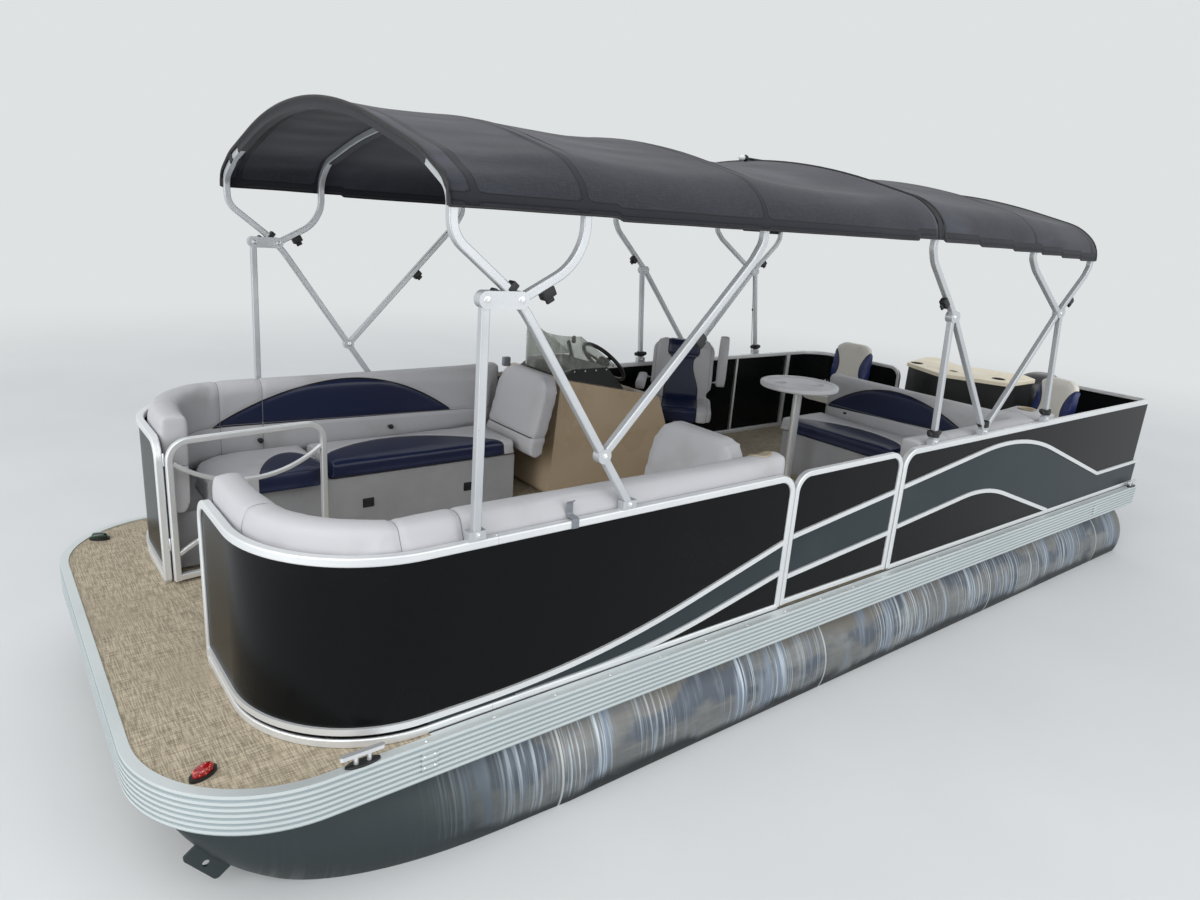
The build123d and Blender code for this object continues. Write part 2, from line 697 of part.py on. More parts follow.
# Aft backs: a roll across the bench, a roll along the port side, and an arm box with a cup recess
arm_aft = -1925
arm_fore = aft_roll_face - roll_depth
arm_inner_y = 905
cup_r = 42
with BuildPart() as aft_backrest:
    with BuildSketch(Plane.XZ.offset(-roll_y)) as aft_profile:
        with BuildLine():
            Polyline((aft_roll_face, base_top), (aft_roll_face - 8, aft_roll_top),
                     (aft_roll_face - roll_depth, aft_roll_top), (aft_roll_face - roll_depth, base_top),
                     close=True)
        make_face()
        fillet(aft_profile.vertices().group_by(Axis.Z)[-1], 50)
    extrude(amount=roll_y - bench_stbd)
    with BuildSketch(Plane.YZ.offset(aft_roll_face - 20)) as port_profile:
        with BuildLine():
            Polyline((roll_y, base_top), (roll_y, aft_roll_top), (roll_y - roll_depth, aft_roll_top),
                     (roll_y - roll_depth + 22, base_top), close=True)
        make_face()
        fillet(port_profile.vertices().group_by(Axis.Z)[-1], 50)
    extrude(amount=return_fore - 20 - aft_roll_face + 20)
    box((arm_aft, arm_fore), (arm_inner_y, roll_y), (deck_z, aft_roll_top - 8))
    with Locations(((arm_aft + arm_fore) / 2, (arm_inner_y + roll_y) / 2, aft_roll_top - 8)):
        Cylinder(cup_r, 140, mode=Mode.SUBTRACT)
aft_backrest.part.label = "aft_backrest"
export_step(aft_backrest.part, "parts/aft_backrest.step")

# Table on a post
table_at = (-820, -60)
table_r = 265
table_z = deck_z + 720
table_thick = 28
table_cup_off = (95, -85)
table_cup_deep = 12
post_r = 30
post_disc = (75, 12)
table_low = table_z - table_thick
with BuildPart() as table_top:
    with BuildSketch(Plane.XY.offset(table_low)):
        with Locations(table_at):
            Circle(table_r)
    extrude(amount=table_thick)
    fillet(table_top.edges().filter_by(GeomType.CIRCLE).group_by(Axis.Z)[0], 12)
    for side in (1, -1):
        cup_at = Vector(*table_at, table_z) + Vector(*table_cup_off) * side
        with Locations(cup_at):
            Cylinder(cup_r, 2 * table_cup_deep, mode=Mode.SUBTRACT)
table_top.part.label = "table_top"
export_step(table_top.part, "parts/table_top.step")
with BuildPart() as table_post:
    with BuildSketch(Plane.XY.offset(deck_z)) as post_ring:
        with Locations(table_at):
            Circle(post_r)
    extrude(amount=table_low - deck_z)
    for disc_z in (deck_z + post_disc[1] / 2, table_low - post_disc[1] / 2):
        with Locations((table_at[0], table_at[1], disc_z)):
            Cylinder(*post_disc)
table_post.part.label = "table_post"
export_step(table_post.part, "parts/table_post.step")

# Helm console
console_aft = -30
console_port = -560
console_stbd = -1195
console_low_edge = (20, deck_z + 590)
console_high_edge = (780, deck_z + 745)
console_outline = [(console_fore - 40, deck_z), (console_fore - 95, deck_z + 735), console_high_edge,
                   console_low_edge, (console_aft - 40, deck_z + 380), (console_aft - 70, deck_z)]
console_edge = 40
footwell_x = (-400, 460)
footwell_top = deck_z + 430
console_cheek = 60


def console_top(x):
    """Give the height of the console's sloping top at a station."""
    slope = (console_high_edge[1] - console_low_edge[1]) / (console_high_edge[0] - console_low_edge[0])
    return console_low_edge[1] + slope * (x - console_low_edge[0])


with BuildPart() as helm_console:
    with BuildSketch(Plane.XZ.offset(-console_port)) as console_side:
        with BuildLine():
            Polyline(console_outline, close=True)
        make_face()
        fillet(console_side.vertices().group_by(Axis.Z)[-1], console_edge)
    extrude(amount=console_port - console_stbd)
    box(footwell_x, (console_stbd + console_cheek, console_port - console_cheek), (deck_z, footwell_top),
        mode=Mode.SUBTRACT)
helm_console.part.label = "helm_console"
export_step(helm_console.part, "parts/helm_console.step")

wheel_at = (287, -850, deck_z + 786)
wheel_tilt = 44
wheel_r = 172
dash_port = console_port - 70
dash_width = 490
dash_fore = 780
dash_aft = 270
dash_crown = [(700, deck_z + 800), (430, deck_z + 800)]
with BuildPart() as dash:
    with BuildSketch(Plane.XZ.offset(-dash_port)) as dash_side:
        with BuildLine():
            Polyline([(dash_fore, console_top(dash_fore))] + dash_crown
                     + [(dash_aft, console_top(dash_aft))], close=True)
        make_face()
    extrude(amount=dash_width)
dash.part.label = "dash"
export_step(dash.part, "parts/dash.step")

# Smoked windshield: a bent sheet whose top falls towards the stern
shield_fore = 790
shield_half = 255
shield_high = 255
shield_thick = 5
shield_bend = 130
shield_aft = 380
shield_y = (console_port + console_stbd) / 2
shield_low = deck_z + 752
shield_sill = deck_z + 802
shield_side = [(shield_fore + 20, shield_low), (shield_fore + 20, shield_low + shield_high),
               (shield_fore - shield_bend, shield_low + shield_high), (shield_aft - 10, shield_sill + 10),
               (shield_aft - 10, shield_sill), (708, shield_sill)]
with BuildPart() as windshield:
    with BuildSketch(Plane.XY.offset(shield_low - shield_high)):
        with BuildLine():
            FilletPolyline((shield_aft, shield_y - shield_half), (shield_fore, shield_y - shield_half),
                           (shield_fore, shield_y + shield_half), (shield_aft, shield_y + shield_half),
                           radius=shield_bend)
        trace(line_width=shield_thick)
    extrude(amount=3 * shield_high)
    with BuildSketch(Plane.XZ.offset(-shield_y - 2 * shield_half)):
        with BuildLine():
            Polyline(shield_side, close=True)
        make_face()
    extrude(amount=4 * shield_half, mode=Mode.INTERSECT)
windshield.part.label = "windshield"
export_step(windshield.part, "parts/windshield.step")

# Steering wheel, drawn on a plane that leans towards the seat
lean = radians(wheel_tilt)
wheel_plane = Plane(origin=wheel_at, x_dir=(0, 1, 0), z_dir=(-cos(lean), 0, sin(lean)))
wheel_grip = 13
wheel_hub_r = 42
with BuildPart() as steering_wheel:
    with BuildSketch(Plane(origin=wheel_at, x_dir=(0, 1, 0), z_dir=(sin(lean), 0, cos(lean)))):
        with Locations((wheel_r, 0)):
            Circle(wheel_grip)
    revolve(axis=Axis(wheel_at, (-cos(lean), 0, sin(lean))))
    with BuildSketch(wheel_plane.offset(-34)):
        Circle(wheel_hub_r)
    extrude(amount=36)
    with BuildSketch(wheel_plane.offset(-14)):
        for angle in (90, 210, 330):
            with Locations((cos(radians(angle)) * wheel_r / 2, sin(radians(angle)) * wheel_r / 2)):
                Rectangle(wheel_r, 26, rotation=angle)
    extrude(amount=8)
steering_wheel.part.label = "steering_wheel"
export_step(steering_wheel.part, "parts/steering_wheel.step")

# Throttle box on the dash's starboard side, with its lever
throttle_y = -1120
throttle_side = [(300, console_top(300)), (300, deck_z + 740), (340, deck_z + 780), (420, deck_z + 780),
                 (430, console_top(430))]
throttle_width = 55
lever_at = (375, deck_z + 820)
lever_size = (24, 150)
lever_thick = 14
lever_lean = -20
with BuildPart() as throttle:
    with BuildSketch(Plane.XZ.offset(-throttle_y)) as pod_side:
        with BuildLine():
            Polyline(throttle_side, close=True)
        make_face()
    extrude(amount=throttle_width)
    with BuildSketch(Plane.XZ.offset(-throttle_y - lever_thick)) as lever:
        with Locations(lever_at):
            Rectangle(*lever_size, rotation=lever_lean)
    extrude(amount=lever_thick)
throttle.part.label = "throttle"
export_step(throttle.part, "parts/throttle.step")

# Pedestals of the three turning seats. Columns: place, height of the seat's plate, foot radius
helm_at = (-410, -800)
stbd_fish_at = (-2035, -650)
port_fish_at = (-2310, 835)
pedestal_gap = 3
pedestal_r = 36
pedestal_foot = 12
helm_seat_z = deck_z + 340
fish_seat_z = deck_z + 350
pedestals = [(helm_at, helm_seat_z, 165), (stbd_fish_at, fish_seat_z, 115),
             (port_fish_at, fish_seat_z, 115)]
with BuildPart() as seat_pedestals:
    for at, high, foot in pedestals:
        with BuildSketch(Plane.XY.offset(deck_z)):
            with Locations(at):
                Circle(foot)
        extrude(amount=pedestal_foot)
        with BuildSketch(Plane.XY.offset(deck_z)):
            with Locations(at):
                Circle(pedestal_r)
        extrude(amount=high - deck_z - pedestal_gap)
seat_pedestals.part.label = "seat_pedestals"
export_step(seat_pedestals.part, "parts/seat_pedestals.step")


def chair_plane(at, turn, z):
    """Give a level plane at a chair's pivot, with x towards the front of the chair."""
    return Plane(origin=(at[0], at[1], z), x_dir=(cos(radians(turn)), sin(radians(turn)), 0),
                 z_dir=(0, 0, 1))


def slab(plane, x, y, z, corner):
    """Add a cushion block on a chair's plane, round at its four upright corners."""
    with BuildSketch(plane.offset(z[0])) as face:
        with Locations(((x[0] + x[1]) / 2, (y[0] + y[1]) / 2)):
            RectangleRounded(x[1] - x[0], y[1] - y[0], corner)
    extrude(face.sketch, amount=z[1] - z[0])


def back_slab(plane, half, low, high, thick, foot_x, lean_x, top_corner):
    """Add a chair back that leans aft from its foot, with round top corners."""
    side = Plane(origin=plane.from_local_coords((0, half, 0)), x_dir=plane.x_dir, z_dir=-plane.y_dir)
    with BuildSketch(side) as profile:
        with BuildLine():
            Polyline((foot_x, low), (foot_x - lean_x, high), (foot_x - lean_x - thick + 20, high),
                     (foot_x - thick, low), close=True)
        make_face()
    front = Plane(origin=plane.from_local_coords((foot_x - 500, 0, 0)), x_dir=plane.y_dir,
                  z_dir=plane.x_dir)
    with BuildSketch(front) as outline:
        with Locations((0, (low + high) / 2)):
            Rectangle(2 * half, high - low)
        fillet(outline.vertices().group_by(Axis.Z)[-1], top_corner)
    body = extrude(profile.sketch, amount=2 * half, mode=Mode.PRIVATE)
    mask = extrude(outline.sketch, amount=900, mode=Mode.PRIVATE)
    add(body & mask)


# Helm chair, drawn facing the bow and then turned on its pedestal towards the port bow
helm_turn = 46
helm_spin = Axis((helm_at[0], helm_at[1], 0), (0, 0, 1))
helm_plane = chair_plane(helm_at, 0, helm_seat_z)
helm_half = 250
helm_back_half = 245
helm_back_z = (118, 565)
helm_back_thick = 115
helm_back_foot = -130
helm_back_lean = 80
helm_back_corner = 110
helm_seat_x = (-225, 235)
helm_seat_high = 125
swivel_half = 110
swivel_high = 22
swivel_corner = 20
seat_sunk = 2
seat_round = 90
arm_pivot = (-190, 250)
arm_pin_r = 10
arm_pin_deep = 30
pin_gap = 0.3
with BuildPart() as helm_chair:
    slab(helm_plane, (-swivel_half, swivel_half), (-swivel_half, swivel_half), (0, swivel_high),
         swivel_corner)
    slab(helm_plane, helm_seat_x, (-helm_half, helm_half), (swivel_high - seat_sunk, helm_seat_high),
         seat_round)
    back_slab(helm_plane, helm_back_half, *helm_back_z, helm_back_thick, helm_back_foot,
              helm_back_lean, helm_back_corner)
    for sign in (1, -1):
        with Locations(Location((helm_at[0] + arm_pivot[0], helm_at[1] + sign * helm_back_half,
                                 helm_seat_z + arm_pivot[1]), (90, 0, 0))):
            Cylinder(arm_pin_r + pin_gap, 2 * arm_pin_deep, mode=Mode.SUBTRACT)
turned_chair = helm_chair.part.rotate(helm_spin, helm_turn)
turned_chair.label = "helm_chair"
export_step(turned_chair, "parts/helm_chair.step")

# Flip-up arms: the inboard one stands up along the back, the outboard one lies down
arm_length = 355
arm_thick = 68
arm_half = 35
arm_edge = 30
arm_gap = 8
pin_inset = 2
pin_hold = 10
for name, sign, up in (("inboard_armrest", 1, True), ("outboard_armrest", -1, False)):
    y_low = helm_at[1] + sign * (helm_half + arm_gap + arm_thick / 2) - arm_thick / 2
    pivot_x = helm_at[0] + arm_pivot[0]
    pivot_z = helm_seat_z + arm_pivot[1]
    with BuildPart() as armrest:
        x_end = (pivot_x - arm_half, pivot_x + (arm_half if up else arm_length))
        z_end = (pivot_z - arm_half, pivot_z + (arm_length if up else arm_half))
        box(x_end, (y_low, y_low + arm_thick), z_end)
        fillet(armrest.edges().filter_by(Axis.Y), arm_edge)
        pin_end = helm_at[1] + sign * (helm_back_half - arm_pin_deep + pin_inset)
        pin_start = helm_at[1] + sign * (helm_half + arm_gap + pin_hold)
        with BuildSketch(Plane.XZ.offset(-max(pin_end, pin_start))) as pin:
            with Locations((pivot_x, pivot_z)):
                Circle(arm_pin_r)
        extrude(pin.sketch, amount=abs(pin_end - pin_start))
    turned_arm = armrest.part.rotate(helm_spin, helm_turn)
    turned_arm.label = name
    export_step(turned_arm, f"parts/{name}.step")

# Folding fishing seats; the port one is turned inboard
fish_half = 200
fish_seat_x = (-190, 205)
fish_seat_high = 92
fish_swivel_half = 90
fish_back_half = fish_half - 8
fish_back_z = (115, 505)
fish_back_thick = 72
fish_back_foot = -150
fish_back_lean = 55
fish_back_corner = 120
fish_hinge = (-178, 140)
fish_pin_r = 8
fish_ear = [(-60, 30), (-60, 62), (-150, 158), (-205, 158), (-205, 120), (-110, 30)]
ear_corner = 9
ear_thick = 6
for side, at, turn in (("starboard", stbd_fish_at, 0), ("port", port_fish_at, -25)):
    plane = chair_plane(at, turn, fish_seat_z)
    with BuildPart() as fish_seat:
        slab(plane, (-fish_swivel_half, fish_swivel_half), (-fish_swivel_half, fish_swivel_half),
             (0, swivel_high), swivel_corner)
        slab(plane, fish_seat_x, (-fish_half, fish_half), (swivel_high - seat_sunk, fish_seat_high),
             seat_round)
        for sign in (1, -1):
            edge = sign * (fish_half + ear_thick / 2)
            ear_plane = Plane(origin=plane.from_local_coords((0, edge, 0)), x_dir=plane.x_dir,
                              z_dir=-plane.y_dir)
            with BuildSketch(ear_plane) as ear:
                with BuildLine():
                    Polyline(fish_ear, close=True)
                make_face()
                fillet(ear.vertices(), ear_corner)
                with Locations(fish_hinge):
                    Circle(fish_pin_r + pin_gap, mode=Mode.SUBTRACT)
            extrude(ear.sketch, amount=ear_thick / 2, both=True)
    fish_seat.part.label = side + "_fishing_seat"
    export_step(fish_seat.part, f"parts/{side}_fishing_seat.step")
    with BuildPart() as fish_back:
        back_slab(plane, fish_back_half, *fish_back_z, fish_back_thick, fish_back_foot,
                  fish_back_lean, fish_back_corner)
        hinge_plane = Plane(origin=plane.from_local_coords((0, 0, 0)), x_dir=plane.x_dir,
                            z_dir=-plane.y_dir)
        with BuildSketch(hinge_plane) as pin:
            with Locations(fish_hinge):
                Circle(fish_pin_r)
        extrude(pin.sketch, amount=fish_half + ear_thick + 2, both=True)
    fish_back.part.label = side + "_fishing_seat_back"
    export_step(fish_back.part, f"parts/{side}_fishing_seat_back.step")

# Fishing station across the stern: black body, moulded top and a livewell lid. Its plan is a
# wide chevron, listed from the starboard fore corner.
station_top = deck_z + 725
station_lip = 30
station_plan = [(-2560, -334), (-2365, 70), (-2560, 540), (-3000, 540), (-3110, 400), (-2960, -100),
                (-3140, -380), (-3040, -448)]
station_inset = 18
station_corner = 35
station_edge = 6
station_cups = [(-2620, -276), (-2658, 409)]
cup_deep = 22
lid_x = (-2915, -2560)
lid_y = (-150, 300)
lid_thick = 18
lid_gap = 3
lid_corner = 20
well_inset = 25
well_low = deck_z + 330
well_x = (lid_x[0] + well_inset, lid_x[1] - well_inset)
well_y = (lid_y[0] + well_inset, lid_y[1] - well_inset)
with BuildPart() as station_body:
    with BuildSketch(Plane.XY.offset(deck_z)) as plan:
        with BuildLine():
            Polyline(station_plan, close=True)
        make_face()
        offset(amount=-station_inset)
    extrude(amount=station_top - station_lip - deck_z)
    box(well_x, well_y, (well_low, station_top), mode=Mode.SUBTRACT)
station_body.part.label = "fishing_station"
export_step(station_body.part, "parts/fishing_station.step")
with BuildPart() as station_deck:
    with BuildSketch(Plane.XY.offset(station_top - station_lip)) as plan:
        with BuildLine():
            Polyline(station_plan, close=True)
        make_face()
        fillet(plan.vertices(), station_corner)
    extrude(amount=station_lip)
    fillet(station_deck.edges().group_by(Axis.Z)[-1], station_edge)
    box((lid_x[0] - lid_gap, lid_x[1] + lid_gap), (lid_y[0] - lid_gap, lid_y[1] + lid_gap),
        (station_top - lid_thick, station_top), mode=Mode.SUBTRACT)
    box(well_x, well_y, (station_top - station_lip, station_top), mode=Mode.SUBTRACT)
    for x, y in station_cups:
        with Locations((x, y, station_top)):
            Cylinder(cup_r, 2 * cup_deep, mode=Mode.SUBTRACT)
station_deck.part.label = "fishing_station_top"
export_step(station_deck.part, "parts/fishing_station_top.step")
with BuildPart() as livewell_lid:
    box(lid_x, lid_y, (station_top - lid_thick + 1, station_top + 1))
    fillet(livewell_lid.edges().filter_by(Axis.Z), lid_corner)
livewell_lid.part.label = "livewell_lid"
export_step(livewell_lid.part, "parts/livewell_lid.step")

# Bimini frames. Arch columns: x, lowest point, shoulder y, and the rises to the side's top,
# the shoulder and the peak. The corners and the crown are rounded.
arch_fore = (2542, 2282, 1040, 78, 170, 460)
arch_second = (2055, 2282, 1110, 88, 188, 468)
arch_third = (1185, 2282, 1110, 88, 188, 468)
arch_join = (-30, 2282, 1110, 88, 188, 468)
arch_fifth = (-1050, 2262, 1110, 88, 188, 468)
arch_aft = (-1796, 2225, 1110, 88, 188, 468)
corner_radius = {arch_fore: 80}
shoulder_radius = {arch_fore: 500}
crown_radius = {arch_fore: 2600}
arch_corner = 150
arch_shoulder = 300
arch_crown = 3400
hoop_edge = 5


def arch_outline(arch, out=0, low=None):
    """Give an arch's corner points, moved outwards by a distance, and the radii of its bends."""
    x, foot, shoulder_y, side, shoulder, peak = arch
    start = foot if low is None else low
    half = [(hoop_y, start), (hoop_y, foot + side), (shoulder_y, foot + shoulder), (0, foot + peak)]
    whole = half + [(-y, z) for y, z in half[-2::-1]]
    moved = []
    for i, (y, z) in enumerate(whole):
        before = Vector(*whole[max(i, 1)]) - Vector(*whole[max(i, 1) - 1])
        last = min(i, len(whole) - 2)
        after = Vector(*whole[last + 1]) - Vector(*whole[last])
        push = before.normalized().rotate(Axis.Z, -90) + after.normalized().rotate(Axis.Z, -90)
        step = push * (2 * out / push.dot(push))
        moved.append((y + step.X, z + step.Y))
    radii = [corner_radius.get(arch, arch_corner), shoulder_radius.get(arch, arch_shoulder),
             crown_radius.get(arch, arch_crown)]
    radii = [r + out for r in radii + radii[1::-1]]
    return moved, radii


def plate(plane, start, end, half_width, thick):
    """Add a flat plate with round ends from one point to another."""
    run = Vector(*end) - Vector(*start)
    middle = (Vector(*end) + Vector(*start)) / 2
    with BuildSketch(plane) as face:
        with Locations(middle):
            SlotCenterToCenter(max(run.length, 1), 2 * half_width, rotation=run.get_angle(Vector(1, 0))
                               * (1 if run.Y >= 0 else -1))
    extrude(face.sketch, amount=thick / 2, both=True)


# Tube columns: corner points in the side plane and the radii of the bends between them
front_pivot = (2300, 2036)
aft_pivot = (-1510, 1930)
aft_fore_pivot = (-338, 1930)
front_tubes = [
    ([(1775, foot_z), front_pivot, (2542, 2226), (2542, 2282)], [600, 100]),
    ([front_pivot, (2100, 2140), (2055, 2240), (2055, 2282)], [200, 150]),
    ([(1915, 1470), (1230, 2180), (1185, 2250), (1185, 2282)], [200, 80]),
    ([(2433, foot_z), (2425, 2038)], None),
]
aft_tubes = [
    ([(-889, foot_z), aft_fore_pivot, (-60, 2200), (-30, 2260), (-30, 2282)], [600, 150, 60]),
    ([(-889, foot_z), aft_pivot, (-1760, 2150), (-1796, 2205), (-1796, 2225)], [600, 150, 50]),
    ([aft_pivot, (-1110, 2180), (-1050, 2240), (-1050, 2262)], [200, 40]),
    ([(-365, foot_z), (-312, 1930)], None),
    ([(-1658, foot_z), (-1540, 1935)], None),
]
front_plates = [((2425, 2038), front_pivot), ((1915, 1470), (1916, 1470))]
aft_plates = [((-312, 1930), aft_fore_pivot), ((-1540, 1935), aft_pivot)]
plate_half = 28
plate_thick = hoop + 8
foot_half = 32
foot_side = hoop / 2 + 2
for name, tubes, plates, feet, arches in (
        ("front_bimini_frame", front_tubes, front_plates, (1775, 2433),
         (arch_fore, arch_second, arch_third)),
        ("aft_bimini_frame", aft_tubes, aft_plates, (-365, -889, -1658),
         (arch_join, arch_fifth, arch_aft))):
    with BuildPart() as frame:
        for arch in arches:
            points, radii = arch_outline(arch)
            square_tube(Plane.YZ.offset(arch[0]), points, radii, hoop, hoop_edge)
        for port in (1, -1):
            side_plane = Plane.XZ.offset(-port * hoop_y)
            for points, radii in tubes:
                square_tube(side_plane, points, radii, hoop, hoop_edge)
            for start, end in plates:
                plate(side_plane, start, end, plate_half, plate_thick)
            for x in feet:
                box((x - foot_half, x + foot_half), (port * hoop_y - foot_side, port * hoop_y + foot_side),
                    (fence_top, foot_z + 12))
    frame.part.label = name
    export_step(frame.part, f"parts/{name}.step")

# Canopies: thin sheets stretched over the arches. Station columns: x, arch, hem height
canopy_gap = 1.5
front_stations = [(2566, arch_fore, 2300), (2055, arch_second, 2300), (1185, arch_third, 2288),
                  (-28, arch_join, 2300)]
aft_stations = [(-30, arch_join, 2300), (-1050, arch_fifth, 2268), (-1820, arch_aft, 2235)]


def canopy_block(stations, out, drop, longer):
    """Make the closed solid under a skin at a distance from the arches."""
    sections = []
    for i, (x, arch, hem) in enumerate(stations):
        reach = longer if i == 0 else -longer if i == len(stations) - 1 else 0
        points, radii = arch_outline(arch, out, hem - drop)
        with BuildSketch(Plane.YZ.offset(x + reach)) as section:
            with BuildLine():
                FilletPolyline(*points, radius=radii)
                Line(points[-1], points[0])
            make_face()
        sections.append(section.sketch)
    return loft(sections, ruled=True, mode=Mode.PRIVATE)


for name, stations in (("front_canopy", front_stations), ("aft_canopy", aft_stations)):
    with BuildPart() as canopy:
        add(canopy_block(stations, hoop / 2 + canopy_gap + sheet, 0, 0))
        add(canopy_block(stations, hoop / 2 + canopy_gap, 30, 25), mode=Mode.SUBTRACT)
    canopy.part.label = name
    export_step(canopy.part, f"parts/{name}.step")

# Navigation lights on the bow corners of the deck. Columns: x, y, turn of the long axis
lights = [(3278, 1062, 26), (3278, -1062, -26)]
light_base = (47, 25)
light_base_high = 12
light_lens = (34, 17)
light_lens_high = 22
with BuildPart() as navigation_lights:
    for x, y, turn in lights:
        for radii, low, high, taper in ((light_base, 0, light_base_high, 0),
                                        (light_lens, light_base_high, light_lens_high, 20)):
            with BuildSketch(Plane.XY.offset(deck_z + low)) as oval:
                with Locations(Location((x, y), turn)):
                    Ellipse(*radii)
            extrude(oval.sketch, amount=high, taper=taper)
navigation_lights.part.label = "navigation_lights"
export_step(navigation_lights.part, "parts/navigation_lights.step")

# Horn cleats on the lip of the deck's edge. Columns: x, y
cleats = [(2850, 1273), (2850, -1273), (-3330, 1273), (-3330, -1273)]
cleat_foot = (90, 26)
cleat_foot_high = 6
cleat_post_r = 8
cleat_post_pitch = 44
cleat_horns = (150, 18)
cleat_horn_low = 34
cleat_horn_high = 14
with BuildPart() as deck_cleats:
    for at in cleats:
        with BuildSketch(Plane.XY.offset(lip_top)) as foot:
            with Locations(at):
                RectangleRounded(*cleat_foot, 10)
        extrude(foot.sketch, amount=cleat_foot_high)
        with BuildSketch(Plane.XY.offset(lip_top)) as posts:
            with Locations(at):
                with GridLocations(cleat_post_pitch, 0, 2, 1):
                    Circle(cleat_post_r)
        extrude(posts.sketch, amount=cleat_horn_low)
        with BuildSketch(Plane.XY.offset(lip_top + cleat_horn_low)) as horns:
            with Locations(at):
                SlotOverall(*cleat_horns)
        extrude(horns.sketch, amount=cleat_horn_high)
deck_cleats.part.label = "deck_cleats"
export_step(deck_cleats.part, "parts/deck_cleats.step")

# Outboard motor
tilt_at = (-4030, 490)
steer_x = -4105
tilt_r = 20
running_gap = 0.3
swivel_half = 66
kingpin_r = 24
motor_prop_z = -335
plate_z = -165

# Clamp bracket: two cheeks over the transom, joined by the tilt tube
clamp_half = 80
tube_half = 95
cheek_side = [(transom_x, 215), (transom_x, transom_top), (transom_x + 62, transom_top),
              (transom_x + 62, transom_top + 16), (-4005, 525), (-4060, 525), (-4060, 455), (-4000, 215)]
cheek_corner = 25
with BuildPart() as clamp_bracket:
    with BuildSketch(Plane.XZ.offset(-clamp_half)) as cheek:
        with BuildLine():
            Polyline(cheek_side, close=True)
        make_face()
        fillet(cheek.vertices().group_by(Axis.X)[0], cheek_corner)
    extrude(amount=2 * clamp_half)
    box((steer_x, transom_x), (-swivel_half - 2, swivel_half + 2), (0, transom_top + 100),
        mode=Mode.SUBTRACT)
    with BuildSketch(Plane.XZ.offset(-tube_half)):
        with Locations(tilt_at):
            Circle(tilt_r)
    extrude(amount=2 * tube_half)
clamp_bracket.part.label = "outboard_clamp_bracket"
export_step(clamp_bracket.part, "parts/outboard_clamp_bracket.step")

# Swivel bracket: a sleeve on the tilt tube, a housing for the kingpin and the web between them
sleeve_r = 34
housing_r = 38
housing_z = (150, 490)
bridge_z = (tilt_at[1] - 30, tilt_at[1] + 20)
web_half = 14
with BuildPart() as swivel_bracket:
    with BuildSketch(Plane.XZ.offset(-swivel_half)) as web:
        with Locations(tilt_at):
            Circle(sleeve_r)
    extrude(amount=2 * swivel_half)
    with BuildSketch(Plane.XY.offset(housing_z[0])):
        with Locations((steer_x, 0)):
            Circle(housing_r)
    extrude(amount=housing_z[1] - housing_z[0])
    box((steer_x, tilt_at[0]), (-swivel_half, swivel_half), bridge_z)
    box((steer_x, steer_x + 60), (-web_half, web_half), (housing_z[0] + 20, bridge_z[0]))
    with BuildSketch(Plane.XZ.offset(-swivel_half - 1)):
        with Locations(tilt_at):
            Circle(tilt_r + running_gap)
    extrude(amount=2 * swivel_half + 2, mode=Mode.SUBTRACT)
    with BuildSketch(Plane.XY.offset(housing_z[0] - 10)):
        with Locations((steer_x, 0)):
            Circle(kingpin_r + running_gap)
    extrude(amount=2 * housing_z[1], mode=Mode.SUBTRACT)
swivel_bracket.part.label = "outboard_swivel_bracket"
export_step(swivel_bracket.part, "parts/outboard_swivel_bracket.step")

# The leg: kingpin and yokes, midsection, plate, gearcase and skeg.
# Sections of the midsection: height, fore end, aft end, half width
leg_sections = [(560, -4150, -4400, 60), (200, -4155, -4330, 42), (-150, -4160, -4350, 34)]
kingpin_z = (112, 542)
yoke_fore = steer_x + 30
yoke_half = 45
upper_yoke_z = (530, 560)
lower_yoke_z = (85, 140)
plate_plan = [(-4130, 0), (-4230, 90), (-4470, 100), (-4560, 70), (-4560, -70), (-4470, -100), (-4230, -90)]
plate_half_thick = 6
strut_side = [(-4160, plate_z + 20), (-4150, motor_prop_z), (-4190, -500), (-4330, -505),
              (-4440, motor_prop_z), (-4400, plate_z + 20)]
strut_half = 18
strut_corner = 15
gear_side = [(-4085, 0), (-4105, 22), (-4190, 48), (-4400, 48), (-4478, 38)]
gear_bend = 12
with BuildPart() as outboard_leg:
    with BuildSketch(Plane.XY.offset(kingpin_z[0])):
        with Locations((steer_x, 0)):
            Circle(kingpin_r)
    extrude(amount=kingpin_z[1] - kingpin_z[0])
    box((leg_sections[0][1] - 110, yoke_fore), (-yoke_half, yoke_half), upper_yoke_z)
    box((leg_sections[1][1] - 45, yoke_fore), (-yoke_half, yoke_half), lower_yoke_z)
    for z, fore, aft, half in leg_sections:
        with BuildSketch(Plane.XY.offset(z)):
            with Locations(((fore + aft) / 2, 0)):
                RectangleRounded(fore - aft, 2 * half, half * 0.8)
    loft(ruled=True)
    with BuildSketch(Plane.XY.offset(plate_z - plate_half_thick)):
        with BuildLine():
            Polyline(plate_plan, close=True)
        make_face()
    extrude(amount=2 * plate_half_thick)
    with BuildSketch(Plane.XZ.offset(-strut_half)) as strut:
        with BuildLine():
            Polyline(strut_side, close=True)
        make_face()
        fillet(strut.vertices().group_by(Axis.Z)[0], strut_corner)
    extrude(amount=2 * strut_half)
    with BuildSketch(Plane.XZ):
        with BuildLine():
            half_profile = FilletPolyline(*[(x, motor_prop_z + r) for x, r in gear_side],
                                          radius=gear_bend)
            Polyline(half_profile @ 1, (gear_side[-1][0], motor_prop_z), (gear_side[0][0], motor_prop_z))
        make_face()
    revolve(axis=Axis((0, 0, motor_prop_z), (1, 0, 0)))
outboard_leg.part.label = "outboard_leg"
export_step(outboard_leg.part, "parts/outboard_leg.step")

